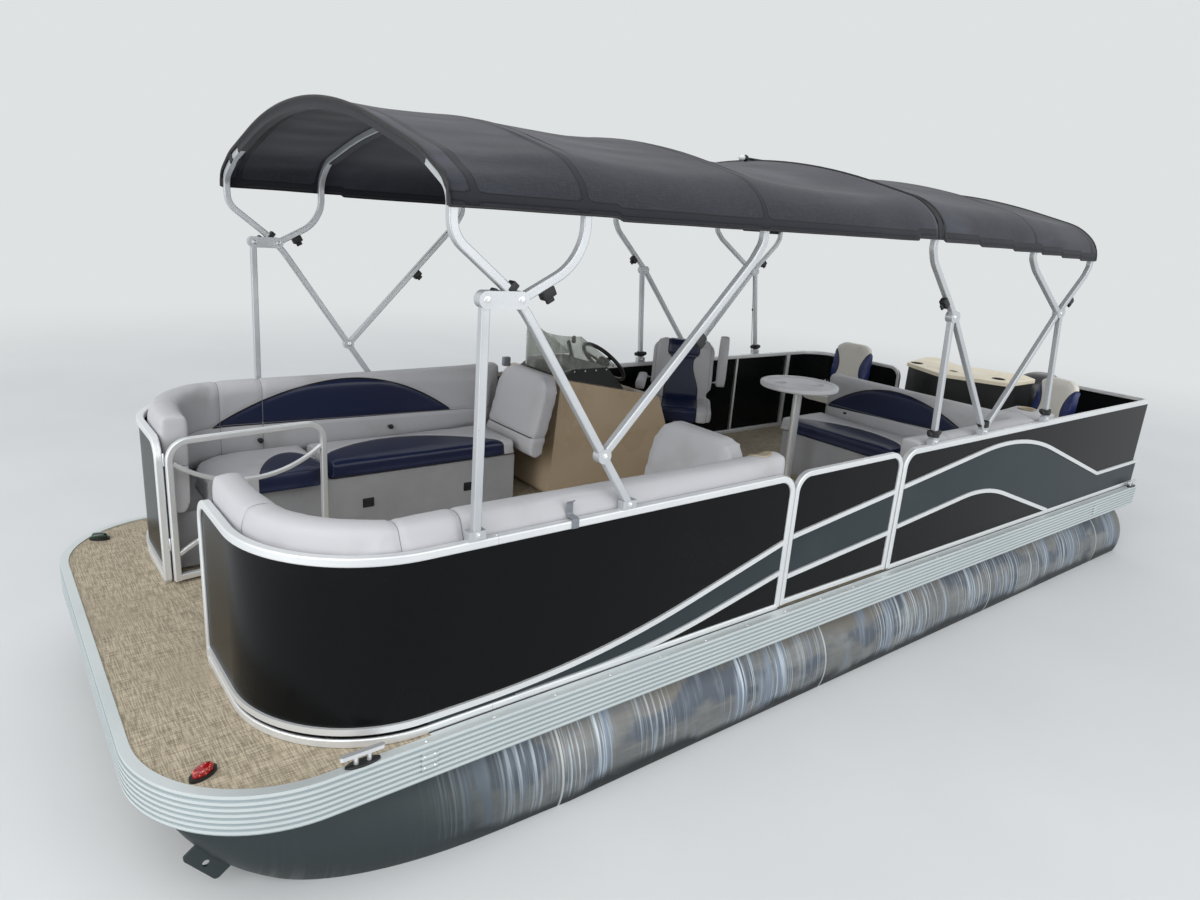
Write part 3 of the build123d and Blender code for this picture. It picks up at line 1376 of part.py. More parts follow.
# Cowl sections: height, fore end, aft end, half width, corner radius
cowl_sections = [
    (562, -4060, -4560, 150, 110),
    (640, -4040, -4600, 190, 140),
    (960, -4060, -4600, 185, 140),
    (1100, -4110, -4560, 150, 120),
    (1150, -4190, -4480, 95, 80),
]
cowl_wall = 6


def cowl_block(inset):
    """Make the cowl's closed form, drawn in by an inset."""
    sections = []
    for i, (z, fore, aft, half, corner) in enumerate(cowl_sections):
        lift = inset if i == 0 else -inset if i == len(cowl_sections) - 1 else 0
        with BuildSketch(Plane.XY.offset(z + lift)) as section:
            with Locations(((fore + aft) / 2, 0)):
                RectangleRounded(fore - aft - 2 * inset, 2 * half - 2 * inset, corner - inset)
        sections.append(section.sketch)
    return loft(sections, ruled=True, mode=Mode.PRIVATE)


with BuildPart() as outboard_cowl:
    add(cowl_block(0))
    add(cowl_block(cowl_wall), mode=Mode.SUBTRACT)
outboard_cowl.part.label = "outboard_cowl"
export_step(outboard_cowl.part, "parts/outboard_cowl.step")

engine_x = (-4500, -4140)
engine_half = 115
engine_z = (600, 1030)
with BuildPart() as powerhead:
    box(engine_x, (-engine_half, engine_half), engine_z)
powerhead.part.label = "powerhead"
export_step(powerhead.part, "parts/powerhead.step")

# Propeller: a hub with three pitched blades
prop_r = 155
prop_hub_r = 42
prop_x = (-4590, -4482)
blade_pitch = 380
blade_thick = 7
blade_sections = [(30, 70), (90, 120), (prop_r - 4, 66)]
with BuildPart() as propeller:
    with BuildSketch(Plane.YZ.offset(prop_x[0])):
        with Locations((0, motor_prop_z)):
            Circle(prop_hub_r)
    extrude(amount=prop_x[1] - prop_x[0])
    for blade in range(3):
        turn = blade * 120
        out = Vector(0, cos(radians(turn)), sin(radians(turn)))
        across = Vector(0, -sin(radians(turn)), cos(radians(turn)))
        sections = []
        for r, chord in blade_sections:
            slope = blade_pitch / (2 * pi * r)
            along = (Vector(slope, 0, 0) + across).normalized()
            origin = Vector((prop_x[0] + prop_x[1]) / 2, 0, motor_prop_z) + out * r
            with BuildSketch(Plane(origin=origin, x_dir=along, z_dir=out)) as section:
                RectangleRounded(chord, blade_thick, 3)
            sections.append(section.sketch)
        loft(sections, ruled=True)
propeller.part.label = "propeller"
export_step(propeller.part, "parts/propeller.step")
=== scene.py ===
from math import cos, exp, pi, radians, sin
import bmesh
import bpy
from mathutils import Matrix, Vector, noise
from mathutils.bvhtree import BVHTree


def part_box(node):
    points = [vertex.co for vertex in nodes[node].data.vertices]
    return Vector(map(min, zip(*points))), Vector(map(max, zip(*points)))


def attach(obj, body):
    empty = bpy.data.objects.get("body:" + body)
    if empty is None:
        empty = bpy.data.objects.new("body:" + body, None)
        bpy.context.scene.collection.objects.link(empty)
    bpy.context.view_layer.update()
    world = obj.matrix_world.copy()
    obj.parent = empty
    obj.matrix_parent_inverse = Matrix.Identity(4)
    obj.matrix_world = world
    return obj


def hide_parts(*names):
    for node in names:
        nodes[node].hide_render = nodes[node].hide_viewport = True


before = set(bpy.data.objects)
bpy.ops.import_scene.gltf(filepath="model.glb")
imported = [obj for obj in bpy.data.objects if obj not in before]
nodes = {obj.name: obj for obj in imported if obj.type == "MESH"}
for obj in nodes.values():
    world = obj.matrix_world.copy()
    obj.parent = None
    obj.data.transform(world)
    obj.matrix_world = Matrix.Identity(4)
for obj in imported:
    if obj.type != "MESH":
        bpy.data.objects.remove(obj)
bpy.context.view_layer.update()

# Metres, but for turned profiles. X runs forward, Y to port, Z up from the waterline. Sizes repeated
# from the part's source
lip_top = 0.566
first_groove_z = 0.4449
groove_pitch = 0.02083
fence_top = 1.243
hoop_y = 1.224
helm_at = (-0.41, -0.8)
helm_turn = radians(46)
starboard_fish_at = (-2.035, -0.65)
port_fish_at = (-2.31, 0.835)
port_fish_turn = radians(-25)
table_at = (-0.82, -0.06)
table_z = 1.28


# Tools

def deselect():
    """Leave object mode with nothing selected."""
    if bpy.context.object and bpy.context.object.mode != "OBJECT":
        bpy.ops.object.mode_set(mode="OBJECT")
    bpy.ops.object.select_all(action="DESELECT")


def pick(piece):
    """Select one piece alone and make it active."""
    deselect()
    piece.select_set(True)
    bpy.context.view_layer.objects.active = piece
    return piece


def apply_modifiers(piece):
    """Apply all of a piece's modifiers in order."""
    pick(piece)
    for modifier in list(piece.modifiers):
        bpy.ops.object.modifier_apply(modifier=modifier.name)
    return piece


def put_in_scene(name, data):
    """Make an object of a mesh, a lamp or a camera, and put it in the scene."""
    made = bpy.data.objects.new(name, data)
    bpy.context.scene.collection.objects.link(made)
    return made


def new_piece(name, mesh, body, finish):
    """Make a mesh into a piece with its finish, and let it ride on a body."""
    piece = put_in_scene(name, mesh)
    mesh.materials.append(finish)
    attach(piece, body)
    return piece


def from_form(form, name, finish, body="boat", smooth=40):
    """Turn a bmesh into a piece, smooth where its faces meet at less than an angle."""
    bmesh.ops.recalc_face_normals(form, faces=form.faces)
    mesh = bpy.data.meshes.new(name)
    form.to_mesh(mesh)
    form.free()
    piece = new_piece(name, mesh, body, finish)
    pick(piece)
    bpy.ops.object.shade_smooth_by_angle(angle=radians(smooth))
    return piece


def copy_of(node, name):
    """Copy a CAD node's mesh into a new object, with its loose triangles merged."""
    piece = pick(put_in_scene(name, nodes[node].data.copy()))
    bpy.ops.object.mode_set(mode="EDIT")
    bpy.ops.mesh.select_all(action="SELECT")
    bpy.ops.mesh.remove_doubles(threshold=0.0001)
    bpy.ops.object.mode_set(mode="OBJECT")
    bpy.ops.mesh.customdata_custom_splitnormals_clear()
    return piece


def skin_of(mesh):
    """Give a mesh's faces as a tree that rays can be cast at."""
    return BVHTree.FromPolygons([v.co for v in mesh.vertices], [tuple(p.vertices) for p in mesh.polygons])


def at(x, y, z, turn=0.0, tip=0.0, lean=0.0):
    """Give the place of a detail: turned about Z, then tipped about its own Y and X."""
    return (Matrix.Translation((x, y, z)) @ Matrix.Rotation(turn, 4, "Z") @ Matrix.Rotation(tip, 4, "Y")
            @ Matrix.Rotation(lean, 4, "X"))


def facing(point, direction):
    """Give the place of a detail whose Z looks in a direction."""
    return Matrix.Translation(point) @ direction.to_track_quat("Z", "Y").to_matrix().to_4x4()


def bridge(form, low, high, closed=True):
    """Fill the band between two rings, or open rows; a ring of one point is a pole."""
    count = max(len(low), len(high))
    for k in range(count if closed else count - 1):
        after = (k + 1) % count
        corners = [low[k % len(low)], low[after % len(low)], high[after % len(high)], high[k % len(high)]]
        corners = list(dict.fromkeys(corners))
        if len(corners) > 2:
            form.faces.new(corners)


def add_turned(form, profile, place, steps=20):
    """Add a turned shape: radius and height in millimetres, spun about the place's Z."""
    rings = []
    for radius, height in profile:
        count = steps if radius > 0 else 1
        angles = [2 * pi * k / steps for k in range(count)]
        points = [Vector((radius * cos(a), radius * sin(a), height)) / 1000 for a in angles]
        rings.append([form.verts.new(place @ p) for p in points])
    for low, high in zip(rings, rings[1:]):
        bridge(form, low, high)


def add_block(form, size, place, edge=0.003):
    """Add a block with rounded edges."""
    made = bmesh.ops.create_cube(form, size=1, matrix=place @ Matrix.Diagonal((*size, 1)))
    edges = list({e for v in made["verts"] for e in v.link_edges})
    bmesh.ops.bevel(form, geom=edges, offset=edge, segments=3, profile=0.5, affect="EDGES")


def add_tube(form, points, radius, steps=8, closed=False):
    """Add a round tube through points."""
    points = [Vector(p) for p in points]
    count = len(points)
    rings = []
    for i, point in enumerate(points):
        before = points[i - 1] if closed or i else point
        after = points[(i + 1) % count] if closed or i < count - 1 else point
        along = (after - before).normalized()
        side = along.cross(Vector((0, 0, 1)) if abs(along.z) < 0.9 else Vector((1, 0, 0))).normalized()
        above = side.cross(along)
        rings.append([form.verts.new(point + radius * (side * cos(2 * pi * k / steps)
                                                       + above * sin(2 * pi * k / steps)))
                      for k in range(steps)])
    for i in range(count if closed else count - 1):
        bridge(form, rings[i], rings[(i + 1) % count])
    if not closed:
        form.faces.new(rings[0])
        form.faces.new(rings[-1])


def keep_on_points(mesh, name, values):
    """Keep a number on each of a mesh's points under a name."""
    mesh.attributes.new(name, "FLOAT", "POINT").data.foreach_set("value", values)


def resample(points, count):
    """Give points at even steps along a line of points."""
    lengths = [0.0]
    for a, b in zip(points, points[1:]):
        lengths.append(lengths[-1] + (b - a).length)
    made = []
    j = 0
    for i in range(count):
        want = lengths[-1] * i / (count - 1)
        while j < len(lengths) - 2 and lengths[j + 1] < want:
            j += 1
        span = lengths[j + 1] - lengths[j]
        made.append(points[j].lerp(points[j + 1], (want - lengths[j]) / span if span else 0))
    return made, lengths[-1]


def smooth_step(value, low, high):
    """Rise softly from 0 at low to 1 at high."""
    t = min(max((value - low) / (high - low), 0.0), 1.0)
    return t * t * (3 - 2 * t)


# Materials

def linear(shade):
    """Turn an sRGB hex colour into a linear one."""
    parts = [int(shade[i:i + 2], 16) / 255 for i in (1, 3, 5)]
    return tuple(c / 12.92 if c <= 0.04045 else ((c + 0.055) / 1.055) ** 2.4 for c in parts) + (1.0,)


def add_node(near, kind, inputs=(), **settings):
    """Add a node with its settings, beside another node or socket, or to a tree; inputs pairs a socket
    with a value or another node's socket."""
    tree = near.id_data
    made = tree.nodes.new(kind)
    for name, value in settings.items():
        setattr(made, name, value)
    for socket, value in dict(inputs).items():
        if isinstance(value, bpy.types.NodeSocket):
            tree.links.new(value, made.inputs[socket])
        else:
            made.inputs[socket].default_value = value
    return made


def start_material(name, **finish):
    """Start a material; finish gives uniform values by socket name. The last result is the place on
    the object in metres."""
    made = bpy.data.materials.new(name)
    made.use_nodes = True
    shader = made.node_tree.nodes["Principled BSDF"]
    for socket, value in finish.items():
        shader.inputs[socket.replace("_", " ")].default_value = value
    return made, shader, add_node(shader, "ShaderNodeTexCoord").outputs["Object"]


def ramp(value, low, high, first=0.0, last=1.0):
    """Go softly from first to last while a value goes from low to high."""
    spread = add_node(value, "ShaderNodeMapRange", {"Value": value, "From Min": low, "From Max": high,
                                                    "To Min": first, "To Max": last},
                      interpolation_type="SMOOTHSTEP")
    return spread.outputs["Result"]


def blotches(place, scale, low, high, detail=4.0, stretch=(1, 1, 1)):
    """Give uneven patches from 0 to 1, with scale patches to the metre and edges set by low and high."""
    moved = add_node(place, "ShaderNodeMapping", {"Vector": place, "Scale": stretch}).outputs[0]
    cloud = add_node(moved, "ShaderNodeTexNoise", {"Vector": moved, "Scale": scale, "Detail": detail})
    return ramp(cloud.outputs["Fac"], low, high)


def streaks(place, low, high, detail, stretch):
    """Give patches whose count to the metre differs along X, Y and Z."""
    return blotches(place, 1.0, low, high, detail, stretch)


def lay_colours(near, under, *layers):
    """Lay colours over a first one. A layer is its share and its colour; a colour is hex or a socket."""
    under = linear(under) if isinstance(under, str) else under
    for share, shade in layers:
        over = linear(shade) if isinstance(shade, str) else shade
        under = add_node(near, "ShaderNodeMix", {0: share, 6: under, 7: over}, data_type="RGBA").outputs[2]
    return under


def colour_in(shader, under, *layers):
    """Give the shader its colour, laid in layers."""
    shader.id_data.links.new(lay_colours(shader, under, *layers), shader.inputs["Base Color"])


def vary_roughness(shader, share, low, high):
    """Let the shader's roughness go from low to high by a share."""
    shader.id_data.links.new(ramp(share, 0.0, 1.0, low, high), shader.inputs["Roughness"])


def raise_surface(shader, height, distance, strength=1.0, under=None):
    """Give the shader a bump from a height, on top of another bump."""
    bump = {"Height": height, "Distance": distance, "Strength": strength}
    if under is not None:
        bump["Normal"] = under
    raised = add_node(shader, "ShaderNodeBump", bump).outputs["Normal"]
    shader.id_data.links.new(raised, shader.inputs["Normal"])
    return raised


def reckon(operation, *values):
    """Work out a number from a socket's and others."""
    return add_node(values[0], "ShaderNodeMath", dict(enumerate(values)), operation=operation).outputs[0]


def near_zero(value, width):
    """Give 1 where a signed distance is within a width of zero."""
    return ramp(reckon("ABSOLUTE", value), width * 1.25, width * 0.8)


def kept_on_points(near, name):
    """Give the number that a mesh keeps on its points under a name."""
    return add_node(near, "ShaderNodeAttribute", attribute_name=name).outputs["Fac"]


def anodised_aluminium(name, shade, dull, roughness, soiled=0.66, fluted=False):
    """Extruded and clear anodised: satin and bright, with faint dull film and small dark spots; the
    flutes of the deck's edge get painted shade in their grooves."""
    made, shader, place = start_material(name, Metallic=0.6)
    film = blotches(place, 2.2, 0.4, 0.85, detail=3)
    spots = blotches(place, 190, soiled, soiled + 0.06, detail=2)
    layers = [(film, dull), (spots, "#85878a")]
    if fluted:
        # The grooves between the flutes are darkened by Z height: painted shade in the recesses.
        height = add_node(place, "ShaderNodeSeparateXYZ", {0: place}).outputs["Z"]
        away = reckon("PINGPONG", reckon("SUBTRACT", height, first_groove_z), groove_pitch / 2)
        below_lip = ramp(height, lip_top - 0.01, lip_top - 0.013)
        groove_painted_shade = reckon("MULTIPLY", ramp(away, 0.0062, 0.0034), below_lip)
        layers.append((groove_painted_shade, "#a3aeb1"))
    colour_in(shader, shade, *layers)
    vary_roughness(shader, film, roughness, roughness + 0.12)
    raise_surface(shader, blotches(place, 24, 0.3, 0.7, detail=1), 0.0012, 0.12)
    return made


def weathered_aluminium(welds):
    """Marine plate left bare: a grey and brown film with dark smudges, pale runs where water ran off the
    deck, a dark band of painted shade at the waterline where the tube curves under, painted shade and a
    painted reflection of dark water on the nose under the deck, and a raised bead at each weld."""
    made, shader, place = start_material("weathered_marine_aluminium", Metallic=0.55)
    parts = add_node(place, "ShaderNodeSeparateXYZ", {0: place}).outputs
    along, height = parts["X"], parts["Z"]
    patches = blotches(place, 4.5, 0.4, 0.62, detail=9)
    brushed = streaks(place, 0.4, 0.7, 6, (5, 40, 70))
    brown = reckon("MULTIPLY", streaks(place, 0.36, 0.58, 7, (1.6, 2, 5)),
                   ramp(height, 0.16, 0.36))
    smudges = streaks(place, 0.5, 0.64, 9, (3.2, 3, 6))
    wide_runs = streaks(place, 0.52, 0.66, 5, (13, 1.2, 1.8))
    runs = reckon("MULTIPLY", streaks(place, 0.4, 0.56, 2, (1.9, 0.1, 0.1)),
                  streaks(place, 0.49, 0.66, 7, (85, 1.5, 2.2)))
    ragged = reckon("MULTIPLY_ADD", patches, 0.035, height)
    beads = [near_zero(reckon("SUBTRACT", along, x), 0.005) for x in welds]
    # The dark band low on the tube is painted shade of its lower curve. The darker nose forward of x 1.9
    # is painted shade from the deck above, with a painted reflection of dark water.
    colour_in(shader, "#6f7273", (patches, "#868a8b"), (brushed, "#7b7c79"), (brown, "#77726a"),
              (smudges, "#565d66"), (wide_runs, "#7c8794"), (runs, "#bcc7d1"),
              (ramp(ragged, 0.115, 0.05), "#25292c"), (ramp(along, 1.9, 2.7), "#3a4244"),
              *[(bead, "#b9bdbe") for bead in beads])
    ridge = patches
    for bead in beads:
        ridge = reckon("ADD", ridge, bead)
    vary_roughness(shader, runs, 0.5, 0.36)
    raise_surface(shader, ridge, 0.002, 0.35)
    return made


def coated_sheet(name, shade, dusty, roughness):
    """Roll-coated aluminium sheet: even colour under a clear gloss, with water spots and faint dust."""
    made, shader, place = start_material(name, IOR=1.45, Specular_IOR_Level=0.13)
    film = blotches(place, 2.6, 0.5, 0.85, detail=6)
    specks = blotches(place, 230, 0.77, 0.82, detail=1)
    colour_in(shader, shade, (film, dusty), (specks, "#2c3132"))
    vary_roughness(shader, film, roughness, roughness + 0.1)
    raise_surface(shader, blotches(place, 1.6, 0.2, 0.8, detail=1), 0.004, 0.2)
    return made


def woven_vinyl():
    """Woven vinyl flooring: flat slubby yarns in two directions, tan with dark and pale threads."""
    made, shader, place = start_material("woven_vinyl_flooring", Roughness=0.7, IOR=1.45)
    # Yarns are 2.5 mm apart; drawn twice as wide so that they show
    warp = streaks(place, 0.36, 0.64, 3, (14, 210, 14))
    weft = streaks(place, 0.36, 0.64, 3, (210, 14, 14))
    worn = blotches(place, 2.4, 0.45, 0.85, detail=6)
    second = lay_colours(shader, "#746957", (weft, "#c4b8a1"))
    colour_in(shader, "#7b705f", (warp, "#beb29b"), (0.5, second), (worn, "#9b907c"))
    raise_surface(shader, reckon("MULTIPLY", warp, weft), 0.0012, 0.6)
    return made


def moulded_plastic(name, shade, second, roughness, grain=0.0004, coat=0.0):
    """Moulded plastic: one colour with slight clouding, and a fine pebbled skin."""
    made, shader, place = start_material(name, IOR=1.46, Coat_Weight=coat, Coat_Roughness=0.12)
    clouds = blotches(place, 4, 0.3, 0.7)
    colour_in(shader, shade, (clouds, second))
    vary_roughness(shader, clouds, roughness, roughness + 0.1)
    pebbles = add_node(place, "ShaderNodeTexVoronoi", {"Vector": place, "Scale": 520})
    raise_surface(shader, pebbles.outputs["Distance"], grain, 0.4)
    return made


def smoked_acrylic():
    """Cast acrylic, tinted smoke: clear and glossy, with dust that dulls it."""
    made, shader, place = start_material("smoked_acrylic", IOR=1.49, Transmission_Weight=0.85)
    dust = blotches(place, 14, 0.4, 0.75)
    colour_in(shader, "#c6c9c2", (dust, "#b2b5ae"))
    vary_roughness(shader, dust, 0.03, 0.14)
    return made


def lens_acrylic(name, shade, deep):
    """Moulded signal lens: deep clear colour with ribs and bright points behind it."""
    made, shader, place = start_material(name, Roughness=0.12, IOR=1.49, Coat_Weight=0.6)
    cells = add_node(place, "ShaderNodeTexVoronoi", {"Vector": place, "Scale": 110}).outputs["Distance"]
    colour_in(shader, deep, (ramp(cells, 0.34, 0.18), shade))
    raise_surface(shader, cells, 0.001, 0.4)
    return made


def canopy_cloth():
    """Solution-dyed acrylic canvas: charcoal plain weave, soft, with dust and doubled, stitched seams."""
    made, shader, place = start_material("acrylic_canvas", Roughness=0.92, IOR=1.4,
                                         Sheen_Weight=0.12, Sheen_Roughness=0.5)
    # The weave is 0.5 mm; drawn at 4 mm so that it shows
    weave = reckon("MULTIPLY", streaks(place, 0.3, 0.7, 2, (250, 30, 30)),
                   streaks(place, 0.3, 0.7, 2, (30, 250, 250)))
    dust = blotches(place, 1.3, 0.4, 0.78, detail=7)
    rubbed = streaks(place, 0.55, 0.8, 5, (1.8, 5, 5))
    seam = kept_on_points(shader, "line")
    doubled = near_zero(seam, 0.016)
    stitches = near_zero(reckon("SUBTRACT", reckon("ABSOLUTE", seam), 0.012), 0.0016)
    colour_in(shader, "#22242b", (weave, "#31333b"), (dust, "#3a3c45"), (rubbed, "#41434c"),
              (doubled, "#1d1f26"), (stitches, "#0d0e12"))
    under = raise_surface(shader, weave, 0.0006, 0.5)
    raise_surface(shader, doubled, 0.0015, 0.8, under)
    return made


def marine_vinyl(name, shade, soiled, second="#151e3c"):
    """Expanded vinyl coat cloth: leather grain, low sheen, soiled; panels of a second colour are let
    in with a black welt, and sewn seams sink in."""
    made, shader, place = start_material(name, IOR=1.48)
    soil = blotches(place, 3.1, 0.5, 0.82, detail=7)
    inlay = kept_on_points(shader, "inlay")
    inside = ramp(inlay, -0.0006, 0.0006)
    welt = near_zero(inlay, 0.0042)
    stitched = near_zero(kept_on_points(shader, "line"), 0.0015)
    colour_in(shader, shade, (soil, soiled), (inside, second), (welt, "#0e0f12"), (stitched, "#77787d"))
    vary_roughness(shader, inside, 0.56, 0.36)
    grain = add_node(place, "ShaderNodeTexVoronoi", {"Vector": place, "Scale": 420}, feature="SMOOTH_F1")
    under = raise_surface(shader, grain.outputs["Distance"], 0.0005, 0.3)
    raise_surface(shader, welt, 0.003, 0.8, under)
    return made


def pale_floor_finish(near, far, edge):
    """Matt studio floor that keeps the object's shadow and turns into the backdrop far off."""
    made, shader, place = start_material("pale_floor", Roughness=0.95, Specular_IOR_Level=0.1)
    colour_in(shader, "#d2d4d5", (blotches(place, 0.6, 0.3, 0.7), "#d7d9da"))
    away = add_node(place, "ShaderNodeVectorMath", {0: place}, operation="LENGTH").outputs["Value"]
    glow = add_node(place, "ShaderNodeEmission", {"Color": linear(far), "Strength": 1.0})
    mixed = add_node(place, "ShaderNodeMixShader", {0: ramp(away, near, edge), 1: shader.outputs[0],
                                                    2: glow.outputs[0]})
    tree = made.node_tree
    tree.links.new(mixed.outputs[0], tree.nodes["Material Output"].inputs["Surface"])
    return made


# Camera at the photograph's place, found from the boat's own straight lines
yaw, pitch, roll = (radians(a) for a in (-128.765, 16.246, 4.191))
ahead = Vector((cos(yaw) * cos(pitch), sin(yaw) * cos(pitch), -sin(pitch)))
level_right = ahead.cross(Vector((0, 0, 1))).normalized()
level_up = level_right.cross(ahead)
right = cos(roll) * level_right + sin(roll) * level_up
up = cos(roll) * level_up - sin(roll) * level_right
lens = bpy.data.cameras.new("photo_camera")
lens.lens = 24.554
lens.clip_end = 400
camera = put_in_scene("photo_camera", lens)
turn = camera.matrix_world.to_3x3()
turn.col[0], turn.col[1], turn.col[2] = right, up, -ahead
camera.matrix_world = turn.to_4x4()
camera.location = (3.713, 3.448, 2.324)
bpy.context.scene.camera = camera


# Studio: a pale floor at the waterline, a soft sky and three large lamps
backdrop_shade = "#dfe2e3"
deselect()
bpy.ops.mesh.primitive_plane_add(size=240, location=(0, 0, 0))
floor = bpy.context.object
floor.name = "studio_floor"
floor.data.materials.append(pale_floor_finish(4.5, backdrop_shade, 15))

world = bpy.data.worlds.new("studio_sky")
bpy.context.scene.world = world
world.use_nodes = True
sky = world.node_tree
sky.nodes.clear()
rays = add_node(sky, "ShaderNodeLightPath").outputs
seen = reckon("MAXIMUM", rays["Is Camera Ray"], rays["Is Glossy Ray"])
seen = reckon("MAXIMUM", seen, rays["Is Transmission Ray"])
lighting = add_node(sky, "ShaderNodeBackground", {"Color": linear("#e2e5e8"), "Strength": 0.9})
backdrop = add_node(sky, "ShaderNodeBackground", {"Color": linear(backdrop_shade), "Strength": 1.0})
both = add_node(sky, "ShaderNodeMixShader", {0: seen, 1: lighting.outputs[0], 2: backdrop.outputs[0]})
add_node(sky, "ShaderNodeOutputWorld", {0: both.outputs[0]})


def soft_lamp(name, place, aim, size, power):
    """Hang a square soft lamp that faces a point."""
    data = bpy.data.lights.new(name, "AREA")
    data.size = size
    data.energy = power
    lamp = put_in_scene(name, data)
    lamp.location = place
    lamp.rotation_mode = "QUATERNION"
    lamp.rotation_quaternion = (Vector(aim) - Vector(place)).to_track_quat("-Z", "Y")


soft_lamp("key_lamp", (8, 6, 11), (0, 0, 1), 12, 850)
soft_lamp("fill_lamp", (-4, 13, 4.5), (-0.8, 0, 1.1), 10, 560)
soft_lamp("bow_lamp", (12, 2, 4.0), (0, 0, 0.9), 9, 480)

# Finishes
tube_metal = anodised_aluminium("anodised_tube", "#e4e6e7", "#d6d9db", 0.42, 0.74)
frame_metal = anodised_aluminium("anodised_frame_tube", "#c2c5c8", "#b0b4b7", 0.42, 0.72)
trim_metal = anodised_aluminium("anodised_extrusion", "#d6dcdc", "#c9d1d2", 0.45, 0.73, True)
mill_metal = anodised_aluminium("mill_aluminium", "#a9acac", "#8b8e8f", 0.45)
bright_metal = anodised_aluminium("polished_stainless", "#e2e4e6", "#c6c9cb", 0.16, 0.7)
pontoon_metal = weathered_aluminium((2.02, 0.35, -1.35, -2.95))
black_sheet = coated_sheet("black_coated_sheet", "#0a0c0d", "#0f1213", 0.26)
slate_sheet = coated_sheet("slate_coated_sheet", "#30383c", "#394145", 0.36)
flooring = woven_vinyl()
tan_shell = moulded_plastic("tan_fibreglass", "#b39f84", "#b9a68c", 0.26, 0.0002, 0.4)
tan_insert = moulded_plastic("tan_cup_insert", "#a39781", "#998c76", 0.5)
cream_shell = moulded_plastic("cream_polyethylene", "#efe5cd", "#e6dbc2", 0.42)
grey_shell = moulded_plastic("grey_polyethylene", "#a2a3a6", "#98999c", 0.5)
table_shell = moulded_plastic("white_table_top", "#d9dadd", "#cdced2", 0.35)
black_shell = moulded_plastic("black_abs", "#121314", "#1c1d1e", 0.42)
motor_shell = moulded_plastic("black_enamel", "#101113", "#15171a", 0.28, 0.0001, 0.25)
grey_hook = moulded_plastic("grey_nylon", "#7d8188", "#70747b", 0.45)
acrylic = smoked_acrylic()
red_lens = lens_acrylic("red_lens", "#ff7a6a", "#8e0d12")
green_lens = lens_acrylic("green_lens", "#2f6b4a", "#0b2418")
canvas = canopy_cloth()
grey_vinyl = marine_vinyl("grey_marine_vinyl", "#b4b4b7", "#a3a2a2")
cream_vinyl = marine_vinyl("cream_marine_vinyl", "#d2cfc6", "#bdb9ad", "#1d2a5c")


def paint(finish, *names):
    """Give CAD nodes their finish."""
    for name in names:
        nodes[name].data.materials.clear()
        nodes[name].data.materials.append(finish)


paint(flooring, "deck")
paint(trim_metal, "deck_trim")
paint(pontoon_metal, "port_pontoon", "starboard_pontoon")
paint(mill_metal, "crossmembers", "motor_pod", "outboard_clamp_bracket", "outboard_swivel_bracket")
paint(tube_metal, "port_fence", "starboard_fence", "bow_gate", "side_gate", "stern_gate",
      "accent_rails", "table_post", "seat_pedestals")
paint(frame_metal, "front_bimini_frame", "aft_bimini_frame")
paint(black_sheet, "port_panels", "starboard_panel", "side_gate_panel", "stern_gate_panel")
paint(slate_sheet, "accent_panels", "side_gate_accent")
paint(grey_shell, "port_bow_seat_base", "starboard_bow_seat_base", "aft_seat_base")
paint(tan_shell, "helm_console")
paint(black_shell, "dash", "steering_wheel", "throttle", "navigation_lights", "fishing_station")
paint(bright_metal, "deck_cleats")
paint(acrylic, "windshield")
paint(table_shell, "table_top")
paint(cream_shell, "fishing_station_top", "livewell_lid")
paint(motor_shell, "outboard_leg", "outboard_cowl", "powerhead", "propeller")


# Canopies: each is one sheet of cloth over its arches, drawn on the inner face of its CAD solid
arch_middle_z = 1.9
cloth_thickness = 0.0024


def canopy_rows(node, columns, across):
    """Read the hung sheet column by column along the boat, each from hem to hem in even steps."""
    skin = skin_of(nodes[node].data)
    low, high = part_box(node)
    edge = 0.004
    under_crown_z = 2.2
    rows = []
    widths = []
    for i in range(columns):
        x = low[0] + edge + (high[0] - low[0] - 2 * edge) * i / (columns - 1)
        fan = []
        # A ray every half degree, from below one hem to below the other
        for k in range(381):
            angle = radians(-5 + k / 2)
            met = skin.ray_cast((x, 0, under_crown_z), (0, cos(angle), sin(angle)))[0]
            if met:
                fan.append(met)
        row, width = resample(fan, across)
        rows.append(row)
        widths.append(width)
    return rows, sum(widths) / columns, high[0] - low[0]


def row_at(rows, x):
    """Give the row nearest to a station along the boat."""
    return min(rows, key=lambda row: abs(row[0].x - x))


def square_to(row, i):
    """Give the direction in a row's plane that is square to its line at a point."""
    along = (row[min(i + 1, len(row) - 1)] - row[max(i - 1, 0)]).normalized()
    return Vector((0, -along.z, along.y))


def from_middle(point):
    """Give the way from the middle of the arches to a point, in the plane across the boat."""
    return Vector((0, point.y, point.z - arch_middle_z))


def hang(rows, arches, dips):
    """Move the sheet off the tubes, and let it dip and wrinkle between the arches."""
    lift = 0.002
    hung = []
    for row in rows:
        moved = []
        for j, point in enumerate(row):
            out = from_middle(point).normalized()
            v = j / (len(row) - 1)
            inner = smooth_step(min(v, 1 - v), 0.0, 0.2)
            down = 0.0
            taut = 1.0
            for (fore, aft), dip in zip(zip(arches, arches[1:]), dips):
                if aft < point.x < fore:
                    t = (point.x - aft) / (fore - aft)
                    bay = 4 * t * (1 - t)
                    down = dip * bay * inner
                    taut = 1 - bay
            folds = noise.noise(Vector((point.x * 1.3, v * 24, 1.7))) * 0.007
            folds += noise.noise(Vector((point.x * 4, v * 9, 5.2))) * 0.005
            moved.append(point + out * (lift + folds * (1 - taut)) + Vector((0, 0, -down)))
        hung.append(moved)
    return hung


